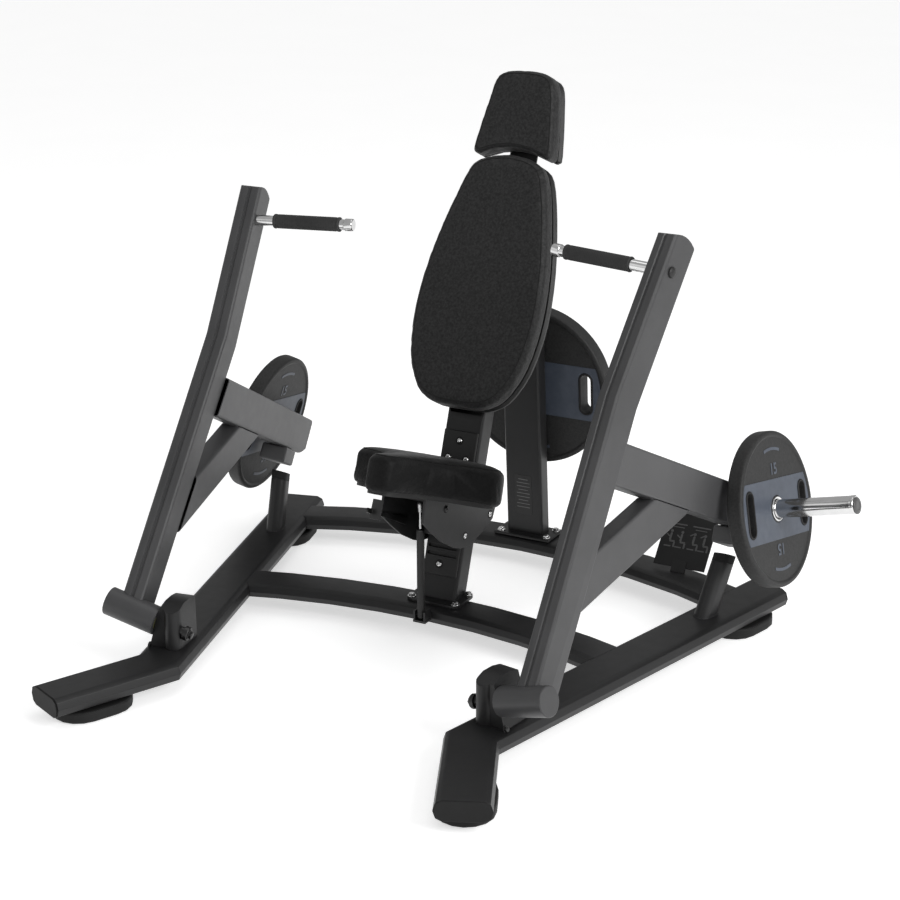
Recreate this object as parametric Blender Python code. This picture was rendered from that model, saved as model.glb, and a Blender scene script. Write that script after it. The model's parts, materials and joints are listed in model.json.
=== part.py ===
"""Plate-loaded seated shoulder press.

Metres, +Z up. The origin is the middle of the footprint on the floor, the front is -Y and the machine is
symmetric about X = 0. The layout below is drawn from a datum line DATUM_Y in front of the footprint's middle;
at() turns a layout point into a model point. Right-hand pieces are modelled and mirrored to the left.
"""
import math

import bmesh
import bpy
from mathutils import Matrix, Vector

# ---------------------------------------------------------------- driving dimensions
DATUM_Y = 0.0600
GAP = 0.0003                      # running clearance between pieces that touch
WALL = 0.003                      # wall of the welded tubes

RAIL_WIDTH, RAIL_HEIGHT, RAIL_TOP, SIDE_BULGE = 0.130, 0.050, 0.080, 0.020
RAIL_FRONT, RAIL_BEND, RAIL_REAR = (0.556, -0.739), (0.430, -0.460), (0.723, 0.667)
RAIL_CAP = 0.004
FOOT_LENGTH, FOOT_WIDTH, FOOT_SETBACK = 0.200, 0.138, 0.022

CROSSBAR_WIDTH, CROSSBAR_HEIGHT, CROSSBAR_TOP = 0.120, 0.042, 0.078
FRONT_BAR_RADIUS, FRONT_BAR_APEX, FRONT_BAR_REACH = 1.690, 0.165, 0.565
REAR_BAR_RADIUS, REAR_BAR_APEX, REAR_BAR_REACH = 1.570, 0.7105, 0.690

PIVOT_POINT = (0.543, -0.408, 0.164)
PIVOT_YAW, PIVOT_TILT = math.radians(-10.0), math.radians(16.5)
PIVOT_TUBE_RADIUS, PIVOT_BORE = 0.036, 0.022
PIVOT_INNER, PIVOT_OUTER = -0.071, 0.0646   # ends of the tube, measured along the axis
SHAFT_RADIUS = 0.0125
BRACKET_BASE, BRACKET_TOP, BRACKET_HALF_WIDTH, BRACKET_HALF_LENGTH = (0.4365, -0.362), 0.195, 0.022, 0.053

ARM_WIDTH, ARM_DEPTH, ARM_EDGE = 0.056, 0.095, 0.010
ARM_BOTTOM, ARM_BEND, ARM_TOP = (0.5506, -0.3947, 0.1397), (0.5531, 0.0373, 0.7407), (0.5898, 0.2717, 1.0730)
ARM_SIDE = Vector((0.9754, -0.1754, 0.1328)).normalized()
ARM_PLANE_POINT = (0.549, 0.0, 0.650)
ARM_CROWN = 0.090                 # radius of the rounded top end
GROOVE_WIDTH, GROOVE_DEPTH = 0.011, 0.004

LEVER_DEPTH, BRACE_DEPTH = 0.105, 0.105
LEVER_LINE = (0.602, -0.5067)     # height at y = 0 and slope, in the arm's plane
LEVER_END_Y, LEVER_HEEL_Z = 0.651, 0.2385
BRACE_LINE = (0.403, 0.209)
SADDLE_Y, SADDLE_WIDTH, SADDLE_LENGTH, SADDLE_HEIGHT = 0.520, 0.076, 0.085, 0.046

POST_FOOT, POST_HEAD = (0.651, 0.408), (0.673, 0.482, 0.235)
STOP_WIDTH, STOP_LENGTH, BUMPER_HEIGHT = 0.045, 0.065, 0.022

HANDLE_POINT, HANDLE_DIRECTION = (0.499, 0.223, 1.020), Vector((-0.990, 0.136, 0.0272)).normalized()
HANDLE_RADIUS, GRIP_RADIUS, GRIP_LENGTH, HANDLE_TIP = 0.014, 0.018, 0.184, 0.215

PEG_POINT, PEG_DIRECTION = (0.781, 0.553, 0.342), Vector((0.9645, -0.0844, 0.2504)).normalized()
PEG_RADIUS, PEG_FLANGE, PEG_LENGTH = 0.024, 0.035, 0.215
PLATE_RADIUS, PLATE_THICKNESS, PLATE_BORE = 0.200, 0.043, 0.0252
STORED_RADIUS, STORED_THICKNESS, STORED_Z, STORED_Y = 0.225, 0.050, 0.508, 0.718
STORED_PEG = 0.1697               # from the plate's front face to the peg's tip
SLOT_SIZE, SLOT_OFFSET = (0.030, 0.110), 0.145
PLATE_TURN = math.radians(-10.5)

SEAT_POST_LEAN = math.radians(19.5)
SEAT_POST_FOOT, SEAT_POST_WIDTH, SEAT_POST_DEPTH, SEAT_POST_END = (0.164, 0.078), 0.107, 0.065, 0.690
SEAT_UNDERSIDE, SEAT_THICKNESS, BOARD_THICKNESS = 0.400, 0.102, 0.012
GAS_HINGE, GAS_CYLINDER, GAS_ROD_TOP = (0.0, 0.084, 0.070), 0.233, 0.296
ADJUST_PIVOT, ADJUST_ANGLE = (-0.0527, 0.095, 0.318), math.radians(26)

COLUMN_FRONT = (0.6915, -0.080)   # y at the floor and slope with height
COLUMN_WIDTH, COLUMN_DEPTH, COLUMN_END = 0.110, 0.050, 1.120

BACK_LEAN, BACK_FOOT = math.radians(27.5), (0.265, 0.607)
HEAD_LEAN, HEAD_FOOT = math.radians(22.5), (0.575, 1.180)
PAD_THICKNESS, SHELL_THICKNESS, CARRIER_THICKNESS, CARRIER_WIDTH = 0.062, 0.020, 0.006, 0.080

ACROSS, REARWARD, UPWARD = Vector((1, 0, 0)), Vector((0, 1, 0)), Vector((0, 0, 1))

FINISHES = {                      # colour, roughness, metallic
    "frame_paint": ((0.030, 0.030, 0.032, 1), 0.45, 0.2),
    "arm_paint": ((0.085, 0.085, 0.088, 1), 0.42, 0.3),
    "rubber": ((0.022, 0.022, 0.023, 1), 0.80, 0.0),
    "plate_rubber": ((0.050, 0.050, 0.052, 1), 0.75, 0.0),
    "vinyl": ((0.030, 0.030, 0.031, 1), 0.60, 0.0),
    "shell_plastic": ((0.018, 0.018, 0.019, 1), 0.50, 0.0),
    "chrome": ((0.80, 0.80, 0.82, 1), 0.12, 1.0),
    "steel": ((0.45, 0.45, 0.46, 1), 0.35, 1.0),
    "bronze": ((0.50, 0.36, 0.18, 1), 0.40, 1.0),
}


# ---------------------------------------------------------------- layout helpers
def at(x, y, z):
    """A model point from a layout point."""
    return Vector((x, y - DATUM_Y, z))


def slide(point, direction, plane_point, normal):
    """Moves a point along a direction until it lies on a plane."""
    return point + direction * ((plane_point - point).dot(normal) / direction.dot(normal))


def arm_plane(y, z):
    """The point of the arm's middle plane that has this layout y and z."""
    x0, y0, z0 = ARM_PLANE_POINT
    x = x0 - (ARM_SIDE.y * (y - y0) + ARM_SIDE.z * (z - z0)) / ARM_SIDE.x
    return at(x, y, z)


def smooth_curve(points, steps):
    """A Catmull-Rom curve through 2-D points, without its last point."""
    ends = [points[0]] + points + [points[-1]]
    curve = []
    for p0, p1, p2, p3 in zip(ends, ends[1:], ends[2:], ends[3:]):
        for k in range(steps):
            t = k / steps
            curve.append(tuple(
                0.5 * (2 * b + (c - a) * t + (2 * a - 5 * b + 4 * c - d) * t * t + (3 * b - a - 3 * c + d) * t ** 3)
                for a, b, c, d in zip(p0, p1, p2, p3)))
    return curve


def symmetric(half):
    """Closes a right-hand half outline, which starts and ends on the axis, with its mirror image."""
    return half + [(-x, y) for x, y in reversed(half) if x > 1e-6]


# ---------------------------------------------------------------- sections
def rounded_section(width, depth, radius, steps=3, groove=0.0):
    """A rounded rectangle, anticlockwise from its lower right corner, with a groove in its +depth face."""
    points = []
    for cx, cy, start in ((1, -1, -90), (1, 1, 0), (-1, 1, 90), (-1, -1, 180)):
        if groove and (cx, cy) == (-1, 1):
            for x, y in ((0.5, 0.0), (0.3, -1.0), (-0.3, -1.0), (-0.5, 0.0)):
                points.append((x * groove, depth / 2 + y * GROOVE_DEPTH))
        for k in range(steps + 1):
            angle = math.radians(start + 90 * k / steps)
            points.append((cx * (width / 2 - radius) + radius * math.cos(angle),
                           cy * (depth / 2 - radius) + radius * math.sin(angle)))
    return points


def oval_section(width, height, bulge, steps=4):
    """A flat top and bottom joined by elliptical sides."""
    flat = width / 2 - bulge
    points = []
    for side in (1, -1):
        for k in range(steps + 1):
            angle = math.radians(-90 + 180 * k / steps)
            points.append((side * (flat + bulge * math.cos(angle)), side * height / 2 * math.sin(angle)))
    return points


def round_section(radius, sides=24):
    return [(radius * math.cos(2 * math.pi * k / sides), radius * math.sin(2 * math.pi * k / sides))
            for k in range(sides)]


def grown(section, by):
    """A section with each point moved out from the middle by a fixed distance along both axes."""
    return [(x + math.copysign(by, x), y + math.copysign(by, y)) for x, y in section]


# ---------------------------------------------------------------- solids
def finish_object(name, bm, finish, sharp=40):
    """Turns a bmesh into a named object with its own material, shaded smooth except at its sharp edges."""
    bmesh.ops.recalc_face_normals(bm, faces=bm.faces)
    mesh = bpy.data.meshes.new(name)
    bm.to_mesh(mesh)
    bm.free()
    obj = bpy.data.objects.new(name, mesh)
    bpy.context.scene.collection.objects.link(obj)
    shade(obj, sharp)
    if finish:
        paint(obj, finish)
    return obj


def shade(obj, sharp=40):
    obj.data.shade_smooth()
    obj.data.set_sharp_from_angle(angle=math.radians(sharp))


def paint(obj, finish):
    colour, roughness, metallic = FINISHES[finish]
    material = bpy.data.materials.new(f"{obj.name}_{finish}")
    material.use_nodes = True
    shader = material.node_tree.nodes["Principled BSDF"]
    shader.inputs["Base Color"].default_value = colour
    shader.inputs["Roughness"].default_value = roughness
    shader.inputs["Metallic"].default_value = metallic
    material.diffuse_color = colour
    obj.data.materials.clear()
    obj.data.materials.append(material)


def swept_rings(section, path, side, start, end):
    """The section at each point of a path, with the bends mitred and the ends on the given planes."""
    runs = [(b - a).normalized() for a, b in zip(path, path[1:])]
    normals = [start or runs[0]]
    normals += [(a + b).normalized() for a, b in zip(runs, runs[1:])]
    normals.append(end or runs[-1])
    side = (side - runs[0] * side.dot(runs[0])).normalized()
    up = side.cross(runs[0])
    ring = [path[0] + side * a + up * b for a, b in section]
    rings = [[slide(p, runs[0], path[0], normals[0]) for p in ring]]
    for run, point, normal in zip(runs, path[1:], normals[1:]):
        ring = [slide(p, run, point, normal) for p in ring]
        rings.append(ring)
    return rings


def skin(bm, rings):
    """Joins consecutive rings of points with faces, and returns the first and last loops of vertices."""
    loops = [[bm.verts.new(p) for p in ring] for ring in rings]
    for low, high in zip(loops, loops[1:]):
        for k in range(len(low)):
            nxt = (k + 1) % len(low)
            bm.faces.new((low[k], low[nxt], high[nxt], high[k]))
    return loops[0], loops[-1]


def sweep(name, finish, section, path, side, start=None, end=None, bore=None, closed_by=0.0):
    """A bar along a path, or a tube when a bore is given. closed_by is the solid length left at the far end."""
    bm = bmesh.new()
    first, last = skin(bm, swept_rings(section, path, side, start, end))
    if bore is None:
        bm.faces.new(first)
        bm.faces.new(last)
        return finish_object(name, bm, finish)
    inner_path = list(path)
    if closed_by:
        inner_path[-1] = path[-1] - (path[-1] - path[-2]).normalized() * closed_by
        end = None
    inner_first, inner_last = skin(bm, swept_rings(bore, inner_path, side, start, end))
    join_loops(bm, first, inner_first)
    if closed_by:
        bm.faces.new(last)
        bm.faces.new(inner_last)
    else:
        join_loops(bm, last, inner_last)
    return finish_object(name, bm, finish)


def join_loops(bm, outer, inner):
    for k in range(len(outer)):
        nxt = (k + 1) % len(outer)
        bm.faces.new((outer[k], outer[nxt], inner[nxt], inner[k]))


def turned(name, finish, profile, base, direction, sides=28):
    """A solid of revolution. The profile lists (radius, distance along the axis); radius 0 closes an end.

    A profile with no point on the axis is closed on itself, which leaves a bore.
    """
    axis = direction.normalized()
    side = axis.orthogonal().normalized()
    other = axis.cross(side)
    bm = bmesh.new()
    loops = []
    for radius, along in profile:
        centre = base + axis * along
        if radius == 0:
            loops.append([bm.verts.new(centre)] * sides)
            continue
        angles = [2 * math.pi * k / sides for k in range(sides)]
        loops.append([bm.verts.new(centre + (side * math.cos(a) + other * math.sin(a)) * radius) for a in angles])
    pairs = list(zip(loops, loops[1:]))
    if profile[0][0] > 0:
        pairs.append((loops[-1], loops[0]))
    for low, high in pairs:
        for k in range(sides):
            nxt = (k + 1) % sides
            corners = []
            for vert in (low[k], low[nxt], high[nxt], high[k]):
                if vert not in corners:
                    corners.append(vert)
            bm.faces.new(corners)
    return finish_object(name, bm, finish, sharp=35)


def prism(name, finish, outline, centre, right, up, thickness):
    """An outline in the plane of right and up, extruded to both sides of it."""
    normal = right.cross(up).normalized()
    bm = bmesh.new()
    rings = [[centre + right * a + up * b + normal * offset for a, b in outline]
             for offset in (-thickness / 2, thickness / 2)]
    first, last = skin(bm, rings)
    bm.faces.new(first)
    bm.faces.new(last)
    return finish_object(name, bm, finish)


def box(name, finish, centre, size, right=ACROSS, up=UPWARD):
    """A block of size (along right, along right x up, along up)."""
    half_width, half_height = size[0] / 2, size[2] / 2
    outline = [(-half_width, -half_height), (half_width, -half_height),
               (half_width, half_height), (-half_width, half_height)]
    return prism(name, finish, outline, centre, right, up, size[1])


def bevelled(obj, width, segments=2, angle=40):
    """Rounds an object's sharp edges in its mesh."""
    modifier = obj.modifiers.new("edges", "BEVEL")
    modifier.width = width
    modifier.segments = segments
    modifier.limit_method = "ANGLE"
    modifier.angle_limit = math.radians(angle)
    apply_modifiers(obj)
    return obj


def apply_modifiers(obj):
    graph = bpy.context.evaluated_depsgraph_get()
    mesh = bpy.data.meshes.new_from_object(obj.evaluated_get(graph))
    obj.modifiers.clear()
    obj.data = mesh
    shade(obj)


def combine(obj, tool, operation):
    """Joins a tool to an object, or cuts it away, and removes the tool."""
    modifier = obj.modifiers.new(operation.lower(), "BOOLEAN")
    modifier.operation = operation
    modifier.solver = "EXACT"
    modifier.object = tool
    apply_modifiers(obj)
    bpy.data.objects.remove(tool)
    return obj


def join(obj, tool):
    return combine(obj, tool, "UNION")


def cut(obj, tool):
    return combine(obj, tool, "DIFFERENCE")


def trim(obj, point, normal, reach=1.0):
    """Cuts away what lies beyond a plane, on the side that its normal points to."""
    normal = normal.normalized()
    right = normal.orthogonal().normalized()
    block = box("trim_tool", None, point + normal * reach / 2, (reach, reach, reach), right, normal.cross(right))
    return cut(obj, block)


def set_origin(obj, point):
    obj.data.transform(Matrix.Translation(-point))
    obj.location = point


def mirrored(obj):
    """The left-hand copy of a right-hand piece, as a separate object with its own mesh."""
    mesh = obj.data.copy()
    mesh.transform(Matrix.Scale(-1, 4, ACROSS))
    mesh.flip_normals()
    left = bpy.data.objects.new(obj.name.replace("_right", "_left"), mesh)
    left.location = (-obj.location.x, obj.location.y, obj.location.z)
    bpy.context.scene.collection.objects.link(left)
    shade(left)
    left.data.materials[0] = obj.data.materials[0].copy()
    left.data.materials[0].name = left.name + "_finish"
    return left


# ---------------------------------------------------------------- base frame
def rail_path():
    height = RAIL_TOP - RAIL_HEIGHT / 2
    return [at(x, y, height) for x, y in (RAIL_FRONT, RAIL_BEND, RAIL_REAR)]


def base_rails():
    """The bent main tube, its two end caps and its two feet."""
    path = rail_path()
    section = oval_section(RAIL_WIDTH, RAIL_HEIGHT, SIDE_BULGE)
    bore = oval_section(RAIL_WIDTH - 2 * WALL, RAIL_HEIGHT - 2 * WALL, SIDE_BULGE - WALL)
    pieces = [sweep("rail_right", "frame_paint", section, path, ACROSS, bore=bore)]
    ends = (("front", path[0], (path[0] - path[1]).normalized()), ("rear", path[2], (path[2] - path[1]).normalized()))
    for place, end, outward in ends:
        side = outward.cross(UPWARD)
        cap = sweep(f"rail_cap_{place}_right", "rubber", section,
                    [end + outward * GAP, end + outward * RAIL_CAP], side)
        pieces.append(bevelled(cap, 0.0012, 1, 60))
        pad_centre = end - outward * (FOOT_SETBACK + FOOT_LENGTH / 2)
        pieces.append(foot(f"foot_{place}_right", pad_centre, outward))
    return pieces


def foot(name, centre, along):
    """A stadium-shaped rubber pad under the rail, with a rounded lower edge."""
    radius, straight = FOOT_WIDTH / 2, (FOOT_LENGTH - FOOT_WIDTH) / 2
    top = RAIL_TOP - RAIL_HEIGHT - GAP
    outline = []
    for end in (1, -1):
        for k in range(9):
            angle = math.radians(-90 + 180 * k / 8)
            outline.append((end * (straight + radius * math.cos(angle)), end * radius * math.sin(angle)))
    middle = Vector((centre.x, centre.y, top / 2))
    pad = prism(name, "rubber", outline, middle, along, UPWARD.cross(along), top)
    return bevelled(pad, 0.004, 1, 60)


def rail_envelope():
    """The rails' outer shape with its clearance, for coping the tubes that meet them."""
    section = grown(oval_section(RAIL_WIDTH, RAIL_HEIGHT, SIDE_BULGE), GAP)
    return sweep("rail_envelope", None, section, rail_path(), ACROSS)


def crossbar(name, radius, apex, reach):
    """A flat-oval tube bowed rearward, coped to both rails."""
    height = CROSSBAR_TOP - CROSSBAR_HEIGHT / 2
    half_angle = math.asin(reach / radius)
    count = 8
    path = []
    for k in range(count + 1):
        angle = half_angle * (2 * k / count - 1)
        path.append(at(radius * math.sin(angle), apex - radius * (1 - math.cos(angle)), height))
    section = oval_section(CROSSBAR_WIDTH, CROSSBAR_HEIGHT, SIDE_BULGE)
    bore = oval_section(CROSSBAR_WIDTH - 2 * WALL, CROSSBAR_HEIGHT - 2 * WALL, SIDE_BULGE - WALL)
    bar = sweep(name, "frame_paint", section, path, -REARWARD, bore=bore)
    cut(bar, rail_envelope())
    left = rail_envelope()
    left.data.transform(Matrix.Scale(-1, 4, ACROSS))
    left.data.flip_normals()
    return cut(bar, left)


def gas_spring_lug(bar):
    """A fork on the front crossbar's front edge, with the pin that the gas spring turns on."""
    hinge = at(*GAS_HINGE)
    tray = box("lug_tray", None, hinge + Vector((0, 0.016, -0.0145)), (0.036, 0.056, 0.006))
    join(bar, tray)
    for side in (1, -1):
        cheek = box("lug_cheek", None, hinge + Vector((side * 0.0145, 0.006, -0.0015)), (0.005, 0.034, 0.030))
        join(bar, cheek)
    pin = turned("lug_pin", None, [(0, -0.0165), (0.003, -0.0165), (0.003, 0.0165), (0, 0.0165)], hinge, ACROSS, 12)
    return join(bar, pin)


def stop_post():
    """The post that an arm rests on, and its rubber top, square to the lever above."""
    foot_point = at(*POST_FOOT, RAIL_TOP + GAP)
    head_point = at(*POST_HEAD)
    direction = (head_point - foot_point).normalized()
    underside = saddle_centre() - lever_up() * (SADDLE_HEIGHT / 2 + GAP)
    head = slide(foot_point, direction, underside, lever_up())
    rail_run = rail_path()[2] - rail_path()[1]
    side = rail_run.cross(UPWARD).normalized()
    section = rounded_section(STOP_WIDTH, STOP_LENGTH, STOP_WIDTH / 2 - 0.001, 4)
    bore = rounded_section(STOP_WIDTH - 2 * WALL, STOP_LENGTH - 2 * WALL, STOP_WIDTH / 2 - 0.001 - WALL, 4)
    joint = head - direction * BUMPER_HEIGHT
    post = sweep("stop_post_right", "frame_paint", section, [foot_point, joint], side,
                 start=UPWARD, end=lever_up(), bore=bore)
    bumper = sweep("stop_bumper_right", "rubber", section, [joint + direction * GAP, head], side,
                   start=lever_up(), end=lever_up())
    return [post, bumper]


# ---------------------------------------------------------------- pivots
def pivot_axis():
    """A point on the right-hand pivot's axis and its direction, outward and up."""
    direction = Vector((math.cos(PIVOT_TILT) * math.cos(PIVOT_YAW),
                        math.cos(PIVOT_TILT) * math.sin(PIVOT_YAW), math.sin(PIVOT_TILT)))
    return at(*PIVOT_POINT), direction


def pivot_bracket():
    """A block with a half-round front and an arched top, whose outer face is square to the tilted shaft."""
    point, axis = pivot_axis()
    lateral = Vector((axis.x, axis.y, 0)).normalized()
    length = UPWARD.cross(lateral)
    base = RAIL_TOP + GAP
    middle = at(*BRACKET_BASE, (base + BRACKET_TOP) / 2)
    half_width, half_length, height = BRACKET_HALF_WIDTH, BRACKET_HALF_LENGTH, BRACKET_TOP - base
    outline = [(half_width, half_length), (-half_width, half_length)]
    for k in range(9):
        angle = math.radians(180 + 180 * k / 8)
        outline.append((half_width * math.cos(angle), -half_length + half_width * (1 + math.sin(angle))))
    block = prism("pivot_bracket_right", "frame_paint", outline, middle, lateral, length, height)
    wedge_outline = [(0, -half_length + 0.012), (0.090, -half_length + 0.012), (0.090, half_length),
                     (0, half_length)]
    wedge = prism("wedge", None, wedge_outline, middle, lateral, length, height)
    trim(wedge, point + axis * (PIVOT_INNER - 0.0015), axis)
    join(block, wedge)
    crown = middle + UPWARD * (height / 2 - 0.120)
    for degrees, drop in ((-38, 0.0), (-20, 0.0), (12, 0.0)):
        tilt = math.radians(degrees)
        normal = length * math.sin(tilt) + UPWARD * math.cos(tilt)
        trim(block, crown + length * 0.010 + normal * 0.120, normal)
    bore = turned("bore", None, [(0, -0.3), (SHAFT_RADIUS + GAP, -0.3), (SHAFT_RADIUS + GAP, 0.1), (0, 0.1)],
                  point, axis)
    cut(block, bore)
    return block


def pivot_parts():
    """The hub tube on the arm, the bush inside it and the bolt that it turns on."""
    point, axis = pivot_axis()
    sleeve = PIVOT_BORE - GAP
    running = SHAFT_RADIUS + GAP
    tube = turned("pivot_tube_right", "arm_paint",
                  [(0, PIVOT_OUTER), (PIVOT_TUBE_RADIUS - 0.002, PIVOT_OUTER), (PIVOT_TUBE_RADIUS, PIVOT_OUTER - 0.002),
                   (PIVOT_TUBE_RADIUS, PIVOT_INNER), (PIVOT_BORE, PIVOT_INNER), (PIVOT_BORE, 0.050), (0, 0.050)],
                  point, axis, 28)
    bush = turned("pivot_bush_right", "bronze",
                  [(running, PIVOT_INNER), (sleeve, PIVOT_INNER), (sleeve, 0.046), (running, 0.046)], point, axis, 20)
    head = slide_along_axis(BRACKET_BASE[0] - BRACKET_HALF_WIDTH) - 0.010
    shaft = turned("pivot_shaft_right", "steel",
                   [(0, head - 0.013), (0.0165, head - 0.013), (0.0180, head - 0.011), (0.0180, head),
                    (SHAFT_RADIUS, head), (SHAFT_RADIUS, 0.042), (0, 0.042)], point, axis, 20)
    return [tube, bush, shaft]


def slide_along_axis(x):
    """How far along the pivot axis a given x lies."""
    point, axis = pivot_axis()
    return (x - point.x) / axis.x


# ---------------------------------------------------------------- press arms
def arm_path():
    return [at(*ARM_BOTTOM), at(*ARM_BEND), at(*ARM_TOP)]


def arm_front(run):
    return ARM_SIDE.cross(run).normalized()


def arm_upright():
    """The bent upright, coped over the pivot tube and rounded at its top."""
    path = arm_path()
    lower_run = (path[1] - path[0]).normalized()
    upper_run = (path[2] - path[1]).normalized()
    section = rounded_section(ARM_WIDTH, ARM_DEPTH, ARM_EDGE, groove=GROOVE_WIDTH)
    bore = rounded_section(ARM_WIDTH - 0.010, ARM_DEPTH - 0.012, ARM_EDGE - 0.004, groove=GROOVE_WIDTH / 2)
    rise = ARM_CROWN - math.sqrt(ARM_CROWN ** 2 - (ARM_DEPTH / 2) ** 2)
    path[2] = path[2] + upper_run * rise
    arm = sweep("arm_upright_right", "arm_paint", section, path, ARM_SIDE, bore=bore, closed_by=0.050)
    front = ARM_SIDE.cross(upper_run).normalized()
    centre = path[2] - upper_run * ARM_CROWN
    for degrees in (-27, -18, -9, 9, 18, 27):
        angle = math.radians(degrees)
        normal = upper_run * math.cos(angle) + front * math.sin(angle)
        trim(arm, centre + normal * ARM_CROWN, normal)
    point, axis = pivot_axis()
    radius = PIVOT_TUBE_RADIUS + GAP
    cope = turned("cope", None, [(0, -0.2), (radius, -0.2), (radius, 0.2), (0, 0.2)], point, axis, 28)
    cut(arm, cope)
    trim(arm, point, -lower_run, 0.4)
    return arm


def arm_back():
    """A point on the rear face of the arm's lower run, with its clearance, and the face's outward normal."""
    path = arm_path()
    backward = -arm_front(path[1] - path[0])
    return path[0] + backward * (ARM_DEPTH / 2 + GAP), backward


def on_line(line, y):
    return arm_plane(y, line[0] + line[1] * y)


def lever_run():
    return (on_line(LEVER_LINE, 1.0) - on_line(LEVER_LINE, 0.0)).normalized()


def lever_up():
    return ARM_SIDE.cross(lever_run()).normalized()


def saddle_centre():
    """The middle of the stop saddle's underside."""
    return on_line(LEVER_LINE, SADDLE_Y) - lever_up() * (LEVER_DEPTH / 2 + SADDLE_HEIGHT)


def lever_and_brace():
    """The lever that carries the weights, and the brace under it, both butted to the arm's rear face."""
    back_point, backward = arm_back()
    section = rounded_section(ARM_WIDTH, LEVER_DEPTH, 0.008, 2)
    bore = rounded_section(ARM_WIDTH - 2 * WALL, LEVER_DEPTH - 2 * WALL, 0.006, 2)
    run = lever_run()
    start = slide(on_line(LEVER_LINE, 0.0), run, back_point, backward)
    lever = sweep("weight_lever_right", "arm_paint", section, [start, on_line(LEVER_LINE, LEVER_END_Y)], ARM_SIDE,
                  start=backward, bore=bore, closed_by=0.060)
    trim(lever, at(0, 0, LEVER_HEEL_Z), -UPWARD, 2.0)

    brace_run = (on_line(BRACE_LINE, 1.0) - on_line(BRACE_LINE, 0.0)).normalized()
    brace_start = slide(on_line(BRACE_LINE, 0.0), brace_run, back_point, backward)
    underside = on_line(LEVER_LINE, 0.0) - lever_up() * (LEVER_DEPTH / 2 + GAP)
    brace_end = slide(on_line(BRACE_LINE, 0.0), brace_run, underside, lever_up())
    section = rounded_section(ARM_WIDTH - 0.002, BRACE_DEPTH, 0.008, 2)
    brace = sweep("lever_brace_right", "arm_paint", section, [brace_start, brace_end], ARM_SIDE,
                  start=backward, end=lever_up(), bore=bore)

    middle = saddle_centre() + lever_up() * (SADDLE_HEIGHT - GAP) / 2
    saddle = box("stop_saddle_right", "arm_paint", middle, (SADDLE_LENGTH, SADDLE_WIDTH, SADDLE_HEIGHT - GAP),
                 run, lever_up())
    bevelled(saddle, 0.006, 2)
    return [lever, brace, saddle]


def handle():
    """The chromed bar from the arm's inner face, with its end cap, and the rubber grip on it."""
    point = at(*HANDLE_POINT)
    path = arm_path()
    upper_run = (path[2] - path[1]).normalized()
    side = (ARM_SIDE - upper_run * ARM_SIDE.dot(upper_run)).normalized()
    inner_face = path[2] - side * (ARM_WIDTH / 2 + GAP)
    start = slide(point, HANDLE_DIRECTION, inner_face, side)
    bar = sweep("handle_bar_right", "chrome", round_section(HANDLE_RADIUS, 16), [start, point + HANDLE_DIRECTION * HANDLE_TIP],
                UPWARD, start=side)
    tip = HANDLE_TIP
    cap = turned("cap", None, [(0, tip - 0.018), (0.0155, tip - 0.018), (0.0165, tip - 0.016), (0.0165, tip + 0.003),
                               (0.0145, tip + 0.005), (0, tip + 0.005)], point, HANDLE_DIRECTION, 16)
    join(bar, cap)
    bore = HANDLE_RADIUS + GAP
    grip = turned("handle_grip_right", "rubber",
                  [(bore, 0), (GRIP_RADIUS - 0.002, 0), (GRIP_RADIUS, 0.002), (GRIP_RADIUS, GRIP_LENGTH - 0.002),
                   (GRIP_RADIUS - 0.002, GRIP_LENGTH), (bore, GRIP_LENGTH)], point, HANDLE_DIRECTION, 16)
    return [bar, grip]


# ---------------------------------------------------------------- weights
def weight_plate(name, radius, thickness, face, direction, spin):
    """A rubber plate with a thick rim, a recessed web and two hand slots. face is the middle of its outer face."""
    rim, web = radius * 0.86, thickness * 0.16
    profile = [(PLATE_BORE, -web), (rim, -web), (rim + 0.006, 0), (radius, 0), (radius, -thickness),
               (rim + 0.006, -thickness), (rim, web - thickness), (PLATE_BORE, web - thickness)]
    plate = turned(name, "plate_rubber", profile, face, direction, 32)
    axis = direction.normalized()
    level = UPWARD.cross(axis).normalized()
    upright = axis.cross(level)
    right = level * math.cos(spin) + upright * math.sin(spin)
    up = upright * math.cos(spin) - level * math.sin(spin)
    half_width, half_height = SLOT_SIZE[0] / 2, SLOT_SIZE[1] / 2
    outline = []
    for end in (1, -1):
        for k in range(4):
            angle = math.radians(180 * k / 3)
            outline.append((end * half_width * math.cos(angle),
                            end * (half_height - half_width + half_width * math.sin(angle))))
    for side in (1, -1):
        centre = face - axis * thickness / 2 + right * side * SLOT_OFFSET * radius / PLATE_RADIUS
        cut(plate, prism("slot", None, outline, centre, right, up, thickness * 2))
    return plate


def weight_peg():
    """The chromed peg with its flange cut flush to the lever's outer face."""
    point = at(*PEG_POINT)
    flange_end = -PLATE_THICKNESS - 0.0015
    profile = [(0, -0.100), (PEG_FLANGE, -0.100), (PEG_FLANGE, flange_end), (PEG_RADIUS, flange_end),
               (PEG_RADIUS, PEG_LENGTH - 0.012), (PEG_RADIUS + 0.0006, PEG_LENGTH - 0.010),
               (PEG_RADIUS + 0.0006, PEG_LENGTH - 0.002), (PEG_RADIUS - 0.002, PEG_LENGTH), (0, PEG_LENGTH)]
    peg = turned("weight_peg_right", "chrome", profile, point, PEG_DIRECTION, 20)
    outer_face = on_line(LEVER_LINE, 0.5) + ARM_SIDE * (ARM_WIDTH / 2 + GAP)
    return trim(peg, outer_face, -ARM_SIDE)


# ---------------------------------------------------------------- seat
def post_up():
    return Vector((0, math.sin(SEAT_POST_LEAN), math.cos(SEAT_POST_LEAN)))


def post_front():
    return Vector((0, -math.cos(SEAT_POST_LEAN), math.sin(SEAT_POST_LEAN)))


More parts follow.
